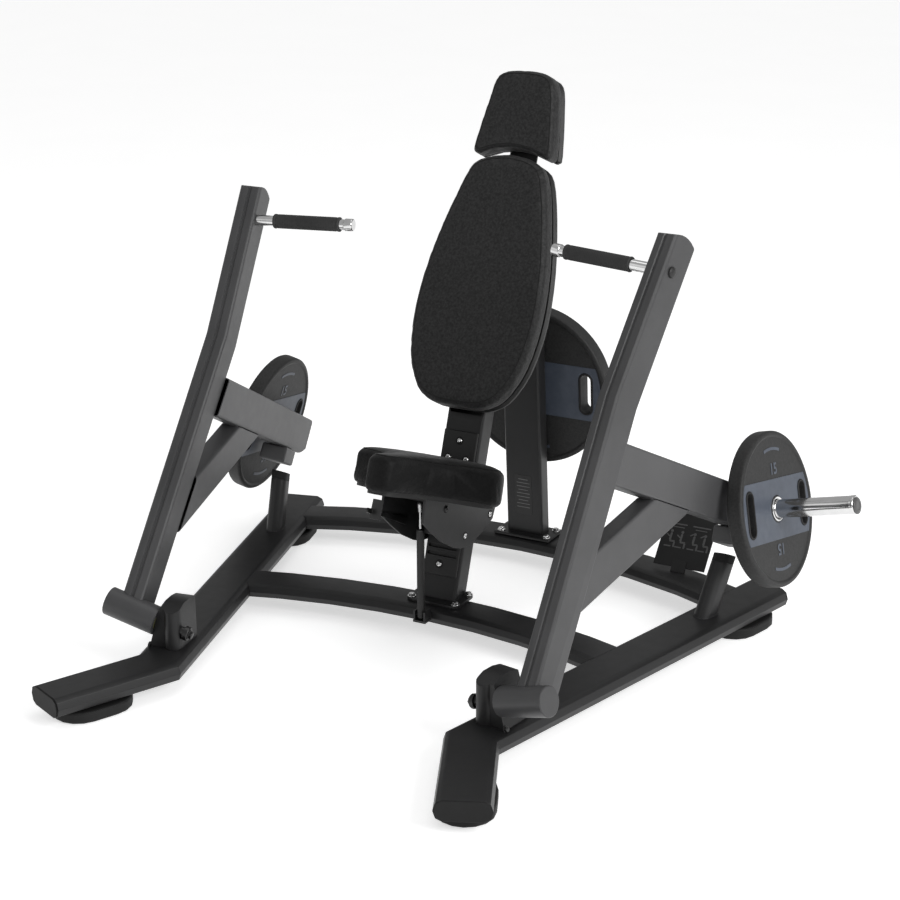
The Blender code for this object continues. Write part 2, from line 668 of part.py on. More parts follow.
def on_post(x, forward, height):
    """A point measured from the foot of the post's front face: across, square to the face, and up the post."""
    foot_point = at(0, *SEAT_POST_FOOT)
    return foot_point + ACROSS * x + post_front() * forward + post_up() * (height - foot_point_height())


def foot_point_height():
    """How far up the post's direction its foot lies, measured from the layout's datum."""
    y, z = SEAT_POST_FOOT
    return y * math.sin(SEAT_POST_LEAN) + z * math.cos(SEAT_POST_LEAN)


def seat_post():
    """The leaning rectangular post with its base plate, cut to the strip behind the pads."""
    base = CROSSBAR_TOP + GAP
    middle = -SEAT_POST_DEPTH / 2
    bottom = slide(on_post(0, middle, 0.2), post_up(), at(0, 0, base + 0.004), UPWARD)
    top = slide(on_post(0, middle, 0.2), post_up(), at(0, 0, SEAT_POST_END), UPWARD)
    section = rounded_section(SEAT_POST_WIDTH, SEAT_POST_DEPTH, 0.010)
    bore = rounded_section(SEAT_POST_WIDTH - 2 * WALL, SEAT_POST_DEPTH - 2 * WALL, 0.007)
    post = sweep("seat_post", "frame_paint", section, [bottom, top], ACROSS, start=UPWARD, bore=bore)
    plate = prism("base", None, rounded_section(0.152, 0.104, 0.018), at(0, 0.187, base + 0.004), ACROSS, REARWARD,
                  0.008)
    join(post, plate)
    point, normal = carrier_back()
    return trim(post, point - normal * GAP, normal, 2.0)


def post_covers():
    """The two plastic covers on the post's front face."""
    pieces = []
    for name, low, high in (("seat_post_cover", 0.197, 0.330), ("seat_post_top_cover", 0.484, 0.576)):
        centre = on_post(0, 0.0045, (low + high) / 2)
        cover = box(name, "shell_plastic", centre, (0.098, 0.0084, high - low), ACROSS, post_up())
        pieces.append(bevelled(cover, 0.003, 2))
    return pieces


def seat_outline(inset=0.0):
    """The seat's plan: a narrow nose that flares into two wings, as (across, forward of the post)."""
    half = [(0.0, 0.430), (0.024, 0.424), (0.041, 0.402), (0.049, 0.355), (0.067, 0.290), (0.112, 0.230),
            (0.165, 0.206), (0.196, 0.186), (0.205, 0.152), (0.193, 0.112), (0.160, 0.068), (0.120, 0.036),
            (0.060, 0.026), (0.0, 0.024)]
    centre = 0.18
    shrink = [(x * (1 - inset / 0.18), centre + (y - centre) * (1 - inset / 0.2)) for x, y in half]
    curve = smooth_curve(shrink, 2) + [shrink[-1]]
    return symmetric(curve)


def seat():
    """The cushion and the board let into its underside, square to the post."""
    pieces = []
    underside = SEAT_UNDERSIDE
    cushion_middle = on_post(0, 0, underside + SEAT_THICKNESS / 2)
    cushion = prism("seat_cushion", "vinyl", seat_outline(), cushion_middle, ACROSS, post_front(), SEAT_THICKNESS)
    bevelled(cushion, 0.014, 1, 60)
    board_middle = on_post(0, 0, underside + BOARD_THICKNESS / 2)
    recess = prism("recess", None, seat_outline(0.012 - GAP), board_middle, ACROSS, post_front(),
                   BOARD_THICKNESS + 2 * GAP)
    pieces.append(cut(cushion, recess))
    pieces.append(prism("seat_board", "shell_plastic", seat_outline(0.012), board_middle, ACROSS, post_front(),
                        BOARD_THICKNESS))
    return pieces


def carriage():
    """Two side plates and a top plate that carry the seat and slide on the post on two guide bars."""
    top = SEAT_UNDERSIDE - GAP
    inner = SEAT_POST_WIDTH / 2 + 0.002
    thickness = 0.006
    rim = top - 0.0006
    plate_outline = [(0.268, rim), (0.262, 0.342), (0.216, 0.321), (0.143, 0.294), (0.066, 0.279), (0.030, 0.278),
                     (-0.024, 0.286), (-0.089, 0.326), (-0.132, 0.358), (-0.140, rim)]
    body = box("seat_carriage", "frame_paint", on_post(0, 0.1350, top - 0.003), (2 * inner + 0.002, 0.240, 0.006),
               ACROSS, post_up())
    strap = box("strap", None, on_post(0, -SEAT_POST_DEPTH - 0.040, top - 0.003), (2 * inner + 0.002, 0.050, 0.006),
                ACROSS, post_up())
    foot_height = foot_point_height()
    for side in (1, -1):
        centre = on_post(side * (inner + thickness / 2), 0, foot_height)
        outline = [(forward, height - foot_height) for forward, height in plate_outline]
        plate = prism("side_plate", None, outline, centre, post_front(), post_up(), thickness)
        join(body, plate)
    join(body, strap)
    guides = []
    for name, forward, height in (("carriage_guide_front", 0.0222, 0.311),
                                  ("carriage_guide_rear", -SEAT_POST_DEPTH - 0.0135, 0.362)):
        centre = on_post(0, forward, height)
        half = inner - GAP
        guides.append(turned(name, "shell_plastic", [(0, -half), (0.0125, -half), (0.0125, half), (0, half)], centre,
                             ACROSS, 20))
    return [body] + guides


def adjust_lever():
    """The flat release lever inside the carriage, with a finger tab bent over near its tip."""
    pivot = at(*ADJUST_PIVOT)
    outline = [(-0.012, -0.010), (0.012, -0.010), (0.060, -0.007), (0.204, -0.006), (0.209, 0.0), (0.204, 0.006),
               (0.060, 0.007), (0.012, 0.010), (-0.012, 0.010)]
    forward = Vector((0, -math.cos(ADJUST_ANGLE), math.sin(ADJUST_ANGLE)))
    upright = forward.cross(ACROSS)
    lever = prism("adjust_lever", "steel", outline, pivot, forward, upright, 0.005)
    tab = box("tab", None, pivot + forward * 0.180 + ACROSS * 0.0125 + upright * 0.0065, (0.030, 0.050, 0.004), ACROSS,
              forward)
    join(lever, tab)
    set_origin(lever, pivot)
    return lever


def gas_spring():
    """The spring from the front crossbar to the carriage: a cylinder with an eye, and its rod."""
    hinge = at(*GAS_HINGE)
    cylinder = turned("gas_cylinder", "shell_plastic",
                      [(0, -0.008), (0.007, -0.008), (0.0095, -0.005), (0.010, 0.0), (0.010, GAS_CYLINDER),
                       (0.0044, GAS_CYLINDER), (0.0044, 0.012), (0, 0.012)], hinge, UPWARD, 20)
    pin = turned("eye", None, [(0, -0.02), (0.0034, -0.02), (0.0034, 0.02), (0, 0.02)], hinge, ACROSS, 12)
    cut(cylinder, pin)
    set_origin(cylinder, hinge)
    rod = turned("gas_rod", "chrome", [(0, GAS_CYLINDER - 0.150), (0.004, GAS_CYLINDER - 0.150),
                                       (0.004, GAS_ROD_TOP), (0, GAS_ROD_TOP)], hinge, UPWARD, 16)
    set_origin(rod, hinge)
    return [cylinder, rod]


# ---------------------------------------------------------------- back and head pads
def pad_axes(lean, foot_point):
    """The foot of a pad's front face, its direction up the pad and its outward normal."""
    up = Vector((0, math.sin(lean), math.cos(lean)))
    front = Vector((0, -math.cos(lean), math.sin(lean)))
    return at(0, *foot_point), up, front


def pad_pair(name, lean, foot_point, half_outline, edge):
    """A cushion and the shell behind it, from one outline given as (half width, distance up the pad)."""
    origin, up, front = pad_axes(lean, foot_point)
    outline = symmetric(smooth_curve(half_outline, 2) + [half_outline[-1]])
    wider = [(x + math.copysign(0.004, x) if abs(x) > 0.02 else x, y) for x, y in outline]
    cushion = prism(f"{name}_cushion", "vinyl", outline, origin - front * PAD_THICKNESS / 2, ACROSS, up, PAD_THICKNESS)
    bevelled(cushion, edge, 1, 60)
    depth = PAD_THICKNESS + GAP + SHELL_THICKNESS / 2
    shell = prism(f"{name}_shell", "shell_plastic", wider, origin - front * depth, ACROSS, up, SHELL_THICKNESS)
    bevelled(shell, 0.006, 1, 60)
    return [cushion, shell]


def backrest():
    half = [(0.0, -0.020), (0.060, -0.018), (0.104, 0.000), (0.134, 0.035), (0.162, 0.100), (0.176, 0.190),
            (0.177, 0.270), (0.168, 0.365), (0.150, 0.460), (0.129, 0.545), (0.108, 0.605), (0.085, 0.630),
            (0.045, 0.645), (0.0, 0.650)]
    return pad_pair("backrest", BACK_LEAN, BACK_FOOT, half, 0.012)


def headrest():
    half = [(0.0, 0.020), (0.050, 0.014), (0.098, -0.004), (0.112, 0.002), (0.109, 0.040), (0.103, 0.085),
            (0.094, 0.140), (0.085, 0.185), (0.070, 0.208), (0.040, 0.218), (0.0, 0.220)]
    return pad_pair("headrest", HEAD_LEAN, HEAD_FOOT, half, 0.012)


def carrier_depth():
    return PAD_THICKNESS + GAP + SHELL_THICKNESS + GAP


def carrier_back():
    """A point on the rear face of the strip behind the pads, and the face's normal towards the front."""
    origin, up, front = pad_axes(BACK_LEAN, BACK_FOOT)
    return origin - front * (carrier_depth() + CARRIER_THICKNESS), front


def pad_carrier():
    """The bent steel strip that both pads are bolted to."""
    back_origin, back_up, back_front = pad_axes(BACK_LEAN, BACK_FOOT)
    head_origin, head_up, head_front = pad_axes(HEAD_LEAN, HEAD_FOOT)
    depth = carrier_depth() + CARRIER_THICKNESS / 2
    low = back_origin - back_front * depth
    high = head_origin - head_front * depth
    half_width, half_depth = CARRIER_WIDTH / 2, CARRIER_THICKNESS / 2
    section = [(half_width, -half_depth), (half_width, half_depth), (-half_width, half_depth),
               (-half_width, -half_depth)]
    path = [low + back_up * 0.010, low + back_up * 0.585, high - head_up * 0.012, high + head_up * 0.170]
    return sweep("pad_carrier", "frame_paint", section, path, ACROSS)


# ---------------------------------------------------------------- rear
def column_front_y(z):
    return COLUMN_FRONT[0] + COLUMN_FRONT[1] * z


def column_back():
    """The direction square to the column's rear face."""
    return Vector((0, 1, -COLUMN_FRONT[1])).normalized()


def rear_column():
    """The column behind the pads with its base plate, cut to the strip that it carries."""
    base = CROSSBAR_TOP + GAP
    path = [at(0, column_front_y(z) + COLUMN_DEPTH / 2, z) for z in (base + 0.004, COLUMN_END)]
    section = rounded_section(COLUMN_WIDTH, COLUMN_DEPTH, 0.010)
    bore = rounded_section(COLUMN_WIDTH - 2 * WALL, COLUMN_DEPTH - 2 * WALL, 0.007)
    column = sweep("rear_column", "frame_paint", section, path, ACROSS, start=UPWARD, bore=bore)
    plate = box("base", None, at(0, 0.7105, base + 0.004), (0.172, 0.096, 0.008))
    join(column, bevelled(plate, 0.002, 1))
    point, normal = carrier_back()
    return trim(column, point - normal * GAP, normal, 2.0)


def storage():
    """The peg behind the column and the spare plate on it."""
    direction = column_back()
    face = at(0, STORED_Y, STORED_Z)
    flange_end = -0.0015
    profile = [(0, -0.050), (PEG_FLANGE, -0.050), (PEG_FLANGE, flange_end), (PEG_RADIUS, flange_end),
               (PEG_RADIUS, STORED_PEG - 0.002), (PEG_RADIUS - 0.002, STORED_PEG), (0, STORED_PEG)]
    peg = turned("storage_peg", "chrome", profile, face, direction, 20)
    column_face = at(0, column_front_y(STORED_Z) + COLUMN_DEPTH, STORED_Z) + direction * GAP
    trim(peg, column_face, -direction)
    plate = weight_plate("storage_plate", STORED_RADIUS, STORED_THICKNESS, face, -direction, 0.0)
    return [peg, plate]


def placard():
    """The instruction board leaning back on the rear crossbar, right of the column."""
    lean = math.radians(41)
    up = Vector((0, math.sin(lean), math.cos(lean)))
    base = at(0.480, 0.640, CROSSBAR_TOP + GAP + 0.004)
    board = box("placard", "shell_plastic", base + up * 0.096, (0.146, 0.004, 0.176), ACROSS, up)
    clip = box("clip", None, base + up * 0.010, (0.040, 0.006, 0.034), ACROSS, up)
    join(board, clip)
    return trim(board, at(0, 0, CROSSBAR_TOP + GAP), -UPWARD, 2.0)


def build():
    for obj in list(bpy.context.scene.objects):
        bpy.data.objects.remove(obj)
    sided = base_rails() + stop_post() + [pivot_bracket()] + pivot_parts() + [arm_upright()] + lever_and_brace()
    sided += handle() + [weight_peg()]
    point, axis = pivot_axis()
    sided.append(weight_plate("weight_plate_right", PLATE_RADIUS, PLATE_THICKNESS, at(*PEG_POINT), PEG_DIRECTION,
                              PLATE_TURN))
    for piece in sided:
        if piece.name.startswith(("pivot_tube", "pivot_bush", "arm_", "weight_lever", "lever_", "stop_saddle",
                                  "handle_", "weight_peg")):
            set_origin(piece, point)
        mirrored(piece)
    gas_spring_lug(crossbar("front_crossbar", FRONT_BAR_RADIUS, FRONT_BAR_APEX, FRONT_BAR_REACH))
    crossbar("rear_crossbar", REAR_BAR_RADIUS, REAR_BAR_APEX, REAR_BAR_REACH)
    seat_post()
    post_covers()
    seat()
    carriage()
    adjust_lever()
    gas_spring()
    backrest()
    headrest()
    pad_carrier()
    rear_column()
    storage()
    placard()


build()
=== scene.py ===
"""Looks for the plate-loaded shoulder press.

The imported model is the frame. Its metal work keeps its shape and gets rounded edges, materials and
fasteners here. The pads, the weight plates, the grips and the lower post cover are rebuilt in detail.
Metres, +Z up, the front is -Y.
"""
import json
import math

import bmesh
import bpy
from mathutils import Matrix, Vector
from mathutils.bvhtree import BVHTree


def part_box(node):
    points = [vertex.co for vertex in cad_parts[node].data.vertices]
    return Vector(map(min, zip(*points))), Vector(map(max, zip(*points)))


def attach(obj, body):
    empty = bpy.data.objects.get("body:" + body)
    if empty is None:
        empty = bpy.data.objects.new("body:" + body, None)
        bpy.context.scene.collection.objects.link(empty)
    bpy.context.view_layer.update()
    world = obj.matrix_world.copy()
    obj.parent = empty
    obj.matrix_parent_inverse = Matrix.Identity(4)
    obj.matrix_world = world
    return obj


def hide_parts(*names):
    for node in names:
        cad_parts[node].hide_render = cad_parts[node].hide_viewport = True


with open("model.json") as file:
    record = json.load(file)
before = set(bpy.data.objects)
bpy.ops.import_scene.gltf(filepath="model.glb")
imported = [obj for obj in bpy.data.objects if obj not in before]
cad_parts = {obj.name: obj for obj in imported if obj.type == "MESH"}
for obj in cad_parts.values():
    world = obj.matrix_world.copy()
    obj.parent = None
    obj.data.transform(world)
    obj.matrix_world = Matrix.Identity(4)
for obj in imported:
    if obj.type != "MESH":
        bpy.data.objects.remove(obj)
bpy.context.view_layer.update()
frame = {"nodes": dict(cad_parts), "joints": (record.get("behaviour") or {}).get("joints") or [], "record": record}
NODES = frame["nodes"]
JOINTS = {joint["name"]: joint for joint in frame["joints"]}
BODIES = frame["record"]["behaviour"]["bodies"]
BODY_OF = {node: body for body, members in BODIES.items() for node in members}

# ---------------------------------------------------------------- sizes and places
ACROSS, REARWARD, UPWARD = Vector((1, 0, 0)), Vector((0, 1, 0)), Vector((0, 0, 1))
SIDES = (("right", 1), ("left", -1))

EDGE_BREAK = 0.0012               # small round on the metal work's edges
WELD_RADIUS = 0.0018
VOXEL = 0.0055                    # mesh size of the pads before they are filled
SIM_FRAMES = 20
PRESSURE = 4.0                    # filling pressure of the pads

PLATE_TURN = math.radians(-10.5)    # how far the arm plates are turned about their pegs
BAND_HALF = 0.0775                # half the height of the painted band
WEB_DEPTH = 0.0035                # how far the plates' web is sunk below their rim
BAND_INSET = 0.0172               # from the plates' outer edge to the ends of the band
SLOT_SIZE, SLOT_OFFSET = (0.030, 0.110), 0.145
BORE_RADIUS, PEG_CAP_RADIUS = 0.0252, 0.0215
ARM_PLATE, STORED_PLATE = (0.200, 0.043), (0.225, 0.050)    # radius and thickness

POST_LEAN = Vector(JOINTS["seat_slide"]["axis"]).normalized()
POST_FRONT = ACROSS.cross(POST_LEAN).normalized()
HANDLE_POINT = Vector((0.499, 0.163, 1.020))
HANDLE_AXIS = Vector((-0.990, 0.136, 0.0272)).normalized()

CAMERA_PLACE = Vector((2.343, -4.176, 2.196))
CAMERA_AZIMUTH, CAMERA_DOWN, CAMERA_ROLL = math.radians(28.256), math.radians(19.233), math.radians(-0.19)
CAMERA_LENS, CAMERA_SENSOR = 81.68, 36.0

SKY_STRENGTH, FLOOR_GLOW = 0.44, 0.56
FLOOR_HALF, FLOOR_DROP = 90, 0.0006
LAMPS = (                         # name, place, disc size, power
    ("key", Vector((5.0, -1.0, 3.2)), 3.0, 190),
    ("fill", Vector((-4.0, -4.0, 3.0)), 4.0, 16),
    ("top", Vector((0.0, 1.0, 5.5)), 4.0, 40),
)
LAMP_TARGET = Vector((0, 0, 0.6))


# ---------------------------------------------------------------- materials
class Nodes:
    """A short way to write node trees."""

    def __init__(self, name):
        self.material = bpy.data.materials.new(name)
        self.material.use_nodes = True
        self.tree = self.material.node_tree
        self.shader = self.tree.nodes["Principled BSDF"]
        self.place = self.add("ShaderNodeTexCoord").outputs["Object"]

    def add(self, kind, **settings):
        node = self.tree.nodes.new(kind)
        for key, value in settings.items():
            setattr(node, key, value)
        return node

    def link(self, source, target):
        self.tree.links.new(source, target)

    def noise(self, scale, detail=3.0, rough=0.55, stretch=None):
        node = self.add("ShaderNodeTexNoise")
        node.inputs["Scale"].default_value = scale
        node.inputs["Detail"].default_value = detail
        node.inputs["Roughness"].default_value = rough
        self.link(self.stretched(stretch), node.inputs["Vector"])
        return node.outputs["Fac"]

    def cells(self, scale, feature="F1"):
        node = self.add("ShaderNodeTexVoronoi", feature=feature)
        node.inputs["Scale"].default_value = scale
        self.link(self.place, node.inputs["Vector"])
        return node.outputs["Distance"]

    def stretched(self, stretch):
        if stretch is None:
            return self.place
        node = self.add("ShaderNodeMapping")
        node.inputs["Scale"].default_value = stretch
        self.link(self.place, node.inputs["Vector"])
        return node.outputs["Vector"]

    def ramp(self, source, low, high, start=0.3, end=0.7):
        node = self.add("ShaderNodeValToRGB")
        node.color_ramp.elements[0].position = start
        node.color_ramp.elements[1].position = end
        node.color_ramp.elements[0].color = low
        node.color_ramp.elements[1].color = high
        self.link(source, node.inputs["Fac"])
        return node.outputs["Color"]

    def spread(self, source, low, high):
        node = self.add("ShaderNodeMapRange")
        node.inputs["To Min"].default_value = low
        node.inputs["To Max"].default_value = high
        self.link(source, node.inputs["Value"])
        return node.outputs["Result"]

    def blend(self, amount, first, second):
        node = self.add("ShaderNodeMix", data_type="RGBA")
        self.link(amount, node.inputs["Factor"])
        self.link(first, node.inputs[6])
        self.link(second, node.inputs[7])
        return node.outputs[2]

    def bump(self, source, depth, strength=1.0, over=None):
        node = self.add("ShaderNodeBump")
        node.inputs["Strength"].default_value = strength
        node.inputs["Distance"].default_value = depth
        self.link(source, node.inputs["Height"])
        if over is not None:
            self.link(over, node.inputs["Normal"])
        return node.outputs["Normal"]

    def wear(self, base, edge, start, end):
        """Base colour with a lighter tone along the convex edges."""
        node = self.add("ShaderNodeNewGeometry")
        mask = self.ramp(node.outputs["Pointiness"], (0, 0, 0, 1), (1, 1, 1, 1), start, end)
        tone = self.add("ShaderNodeRGB")
        tone.outputs[0].default_value = edge
        return self.blend(mask, base, tone.outputs[0])


def grey(value, blue=1.0):
    return (value, value, value * blue, 1.0)


def powder_coat(name, tone, roughness, specular):
    """Satin powder coat: fine orange peel, slow tone drift and slightly rubbed edges."""
    n = Nodes(name)
    drift = n.ramp(n.noise(6.0, 4), grey(tone * 0.86, 1.03), grey(tone * 1.16, 1.03), 0.3, 0.7)
    n.link(n.wear(drift, grey(tone * 2.4, 1.02), 0.53, 0.62), n.shader.inputs["Base Color"])
    n.link(n.spread(n.noise(35.0, 5), roughness - 0.05, roughness + 0.06), n.shader.inputs["Roughness"])
    fine = n.bump(n.noise(1400.0, 2), 0.00004, 0.5)
    n.link(n.bump(n.noise(260.0, 2), 0.00010, 0.5, fine), n.shader.inputs["Normal"])
    n.shader.inputs["Metallic"].default_value = 0.0
    n.shader.inputs["Specular IOR Level"].default_value = specular
    return n.material


def moulded(name, tone, roughness, specular=0.3, texture=700.0, blue=1.0):
    """Moulded plastic or rubber with a fine spark-eroded texture."""
    n = Nodes(name)
    drift = n.ramp(n.noise(9.0, 5), grey(tone * 0.85, blue), grey(tone * 1.18, blue), 0.3, 0.7)
    n.link(n.wear(drift, grey(tone * 1.9, blue), 0.54, 0.66), n.shader.inputs["Base Color"])
    n.link(n.spread(n.noise(60.0, 4), roughness - 0.06, roughness + 0.05), n.shader.inputs["Roughness"])
    n.link(n.bump(n.noise(texture, 3), 0.00015, 0.6), n.shader.inputs["Normal"])
    n.shader.inputs["Specular IOR Level"].default_value = specular
    return n.material


def plate_rubber():
    """Crumb rubber: dense small cells over a coarser mottle."""
    n = Nodes("plate_rubber")
    mottle = n.ramp(n.noise(180.0, 4), grey(0.013), grey(0.024), 0.35, 0.65)
    n.link(n.wear(mottle, grey(0.045), 0.54, 0.66), n.shader.inputs["Base Color"])
    n.link(n.spread(n.noise(90.0, 4), 0.50, 0.66), n.shader.inputs["Roughness"])
    cells = n.bump(n.cells(620.0), 0.00022, 0.45)
    n.link(n.bump(n.noise(120.0, 3), 0.00020, 0.35, cells), n.shader.inputs["Normal"])
    n.shader.inputs["Specular IOR Level"].default_value = 0.35
    return n.material


def band_paint():
    """Blue-grey satin paint on the plates' band and numerals."""
    n = Nodes("band_paint")
    low, high = (0.048, 0.058, 0.078, 1), (0.064, 0.076, 0.100, 1)
    n.link(n.ramp(n.noise(40.0, 5), low, high, 0.3, 0.7), n.shader.inputs["Base Color"])
    n.link(n.spread(n.noise(50.0, 4), 0.38, 0.50), n.shader.inputs["Roughness"])
    n.link(n.bump(n.noise(800.0, 2), 0.00008, 0.5), n.shader.inputs["Normal"])
    n.shader.inputs["Specular IOR Level"].default_value = 0.4
    return n.material


def vinyl(name, tone, specular):
    """Upholstery vinyl: pebbled grain, with a painted highlight in the middle of each pebble and painted shade in
    the low clumps.
    """
    n = Nodes(name)
    pebbles = n.cells(210.0, "SMOOTH_F1")
    clumps = n.noise(140.0, 3, 0.65)
    # painted highlight: lighter colour in the middle of each pebble cell, darker towards its edges
    pebble_highlight = n.ramp(pebbles, grey(tone * 1.30, 1.01), grey(tone * 0.35, 1.01), 0.16, 0.60)
    # painted shade: darker colour where the clumps are low, the same noise as the coarse bump
    shadows = n.ramp(clumps, grey(tone * 0.30, 1.01), grey(tone * 1.50, 1.01), 0.38, 0.60)
    half = n.add("ShaderNodeValue")
    half.outputs[0].default_value = 0.55
    n.link(n.blend(half.outputs[0], pebble_highlight, shadows), n.shader.inputs["Base Color"])
    n.link(n.spread(clumps, 0.62, 0.46), n.shader.inputs["Roughness"])
    grain = n.bump(pebbles, 0.00080, 0.70)
    coarse = n.bump(clumps, 0.00080, 0.60, grain)
    n.link(n.bump(n.noise(28.0, 3), 0.0006, 0.25, coarse), n.shader.inputs["Normal"])
    n.shader.inputs["Specular IOR Level"].default_value = specular
    n.shader.inputs["Sheen Weight"].default_value = 0.06
    n.shader.inputs["Sheen Roughness"].default_value = 0.5
    return n.material


def metal(name, tone, roughness, brushed=None, blue=1.0):
    """Bare metal with fine marks, drawn out along one direction where it is brushed or turned."""
    n = Nodes(name)
    drift = n.ramp(n.noise(30.0, 4), grey(tone * 0.93, blue), grey(tone * 1.05, blue))
    n.link(drift, n.shader.inputs["Base Color"])
    marks = n.noise(160.0, 5, 0.6, brushed)
    n.link(n.spread(marks, roughness * 0.7, roughness * 1.5), n.shader.inputs["Roughness"])
    n.link(n.bump(marks, 0.00002, 0.5), n.shader.inputs["Normal"])
    n.shader.inputs["Metallic"].default_value = 1.0
    return n.material


def floor_paint():
    """A pale matt floor with a little glow of its own, so that it stays white far from the lamps."""
    n = Nodes("floor_paint")
    n.link(n.ramp(n.noise(2.0, 3), grey(0.86), grey(0.88)), n.shader.inputs["Base Color"])
    n.shader.inputs["Roughness"].default_value = 0.8
    n.shader.inputs["Specular IOR Level"].default_value = 0.1
    n.shader.inputs["Emission Color"].default_value = (1.0, 1.0, 1.0, 1.0)
    n.shader.inputs["Emission Strength"].default_value = FLOOR_GLOW
    return n.material


MATERIALS = {
    "frame_paint": powder_coat("frame_paint", 0.0130, 0.42, 0.32),
    "arm_paint": powder_coat("arm_paint", 0.046, 0.42, 0.40),
    "rubber": moulded("rubber", 0.012, 0.62, 0.22, 500.0),
    "plate_rubber": plate_rubber(),
    "band_paint": band_paint(),
    "vinyl": vinyl("vinyl", 0.015, 0.26),
    "seat_vinyl": vinyl("seat_vinyl", 0.003, 0.16),
    "thread": moulded("thread", 0.010, 0.70, 0.2, 1500.0),
    "shell_plastic": moulded("shell_plastic", 0.013, 0.46, 0.35, 900.0),
    "grip_rubber": moulded("grip_rubber", 0.030, 0.66, 0.25, 380.0),
    "cap_plastic": moulded("cap_plastic", 0.075, 0.40, 0.4, 900.0),
    "print_grey": moulded("print_grey", 0.075, 0.5, 0.3, 900.0),
    "chrome": metal("chrome", 0.70, 0.10, (3, 3, 3)),
    "steel": metal("steel", 0.46, 0.30, (1, 14, 14)),
    "black_steel": metal("black_steel", 0.06, 0.34),
    "bronze": metal("bronze", 0.45, 0.35, None, 0.45),
    "floor": floor_paint(),
}


# ---------------------------------------------------------------- mesh helpers
def new_piece(name, bm, finish, body, smooth=True):
    """A finished piece that rides on a body, with a procedural finish."""
    bmesh.ops.recalc_face_normals(bm, faces=bm.faces)
    mesh = bpy.data.meshes.new(name)
    bm.to_mesh(mesh)
    bm.free()
    piece = bpy.data.objects.new(name, mesh)
    bpy.context.scene.collection.objects.link(piece)
    mesh.polygons.foreach_set("use_smooth", [smooth] * len(mesh.polygons))
    mesh.materials.append(MATERIALS[finish])
    if body:
        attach(piece, body)
    return piece


def soften(piece, width=EDGE_BREAK, segments=2, degrees=28):
    """Welds the mesh, rounds its edges and evens its normals, without touching the mesh itself."""
    weld = piece.modifiers.new("weld", "WELD")
    weld.merge_threshold = 0.00001
    bevel = piece.modifiers.new("edges", "BEVEL")
    bevel.width = width
    bevel.segments = segments
    bevel.limit_method = "ANGLE"
    bevel.angle_limit = math.radians(degrees)
    bevel.use_clamp_overlap = True
    normals = piece.modifiers.new("normals", "WEIGHTED_NORMAL")
    normals.weight = 60
    return piece


def baked(piece):
    """Replaces a piece's mesh by the result of its modifiers."""
    graph = bpy.context.evaluated_depsgraph_get()
    mesh = bpy.data.meshes.new_from_object(piece.evaluated_get(graph))
    piece.modifiers.clear()
    piece.data = mesh
    return piece


def cut(piece, tool):
    """Takes the tool's shape out of the piece."""
    change = piece.modifiers.new("cut", "BOOLEAN")
    change.operation = "DIFFERENCE"
    change.solver = "EXACT"
    change.object = tool
    bpy.context.view_layer.update()
    baked(piece)
    bpy.data.objects.remove(tool)
    return piece


def welded(node):
    """A CAD node's mesh as a bmesh with its seams closed."""
    bm = bmesh.new()
    bm.from_mesh(NODES[node].data)
    bmesh.ops.remove_doubles(bm, verts=bm.verts, dist=0.00001)
    bm.normal_update()
    return bm


def lathe(profile, base, axis, sides=48, bm=None):
    """Turns (radius, height) points about an axis. A point on the axis closes an end."""
    bm = bm or bmesh.new()
    axis = axis.normalized()
    across = axis.orthogonal().normalized()
    third = axis.cross(across)
    rings = []
    for radius, height in profile:
        if radius < 1e-6:
            rings.append([bm.verts.new(base + axis * height)])
            continue
        ring = []
        for k in range(sides):
            angle = math.tau * k / sides
            spoke = across * math.cos(angle) + third * math.sin(angle)
            ring.append(bm.verts.new(base + axis * height + spoke * radius))
        rings.append(ring)
    closed = profile[0][0] > 1e-6 and profile[-1][0] > 1e-6
    pairs = list(zip(rings, rings[1:])) + ([(rings[-1], rings[0])] if closed else [])
    for low, high in pairs:
        for k in range(sides):
            corners = [low[k % len(low)], low[(k + 1) % len(low)],
                       high[(k + 1) % len(high)], high[k % len(high)]]
            unique = list(dict.fromkeys(corners))
            if len(unique) > 2:
                bm.faces.new(unique)
    return bm


def extrude(outline, centre, right, up, thickness, bm=None):
    """A flat outline made solid, centred on its middle plane."""
    bm = bm or bmesh.new()
    normal = right.cross(up).normalized()
    ends = []
    for side in (-0.5, 0.5):
        ends.append([bm.verts.new(centre + right * x + up * y + normal * side * thickness)
                     for x, y in outline])
    bm.faces.new(ends[0][::-1])
    bm.faces.new(ends[1])
    for k in range(len(outline)):
        j = (k + 1) % len(outline)
        bm.faces.new([ends[0][k], ends[0][j], ends[1][j], ends[1][k]])
    return bm


def rounded_outline(width, height, radius, steps=6):
    points = []
    for cx, cy, start in ((1, -1, -90), (1, 1, 0), (-1, 1, 90), (-1, -1, 180)):
        for k in range(steps + 1):
            angle = math.radians(start + 90 * k / steps)
            points.append((cx * (width / 2 - radius) + radius * math.cos(angle),
                           cy * (height / 2 - radius) + radius * math.sin(angle)))
    return points


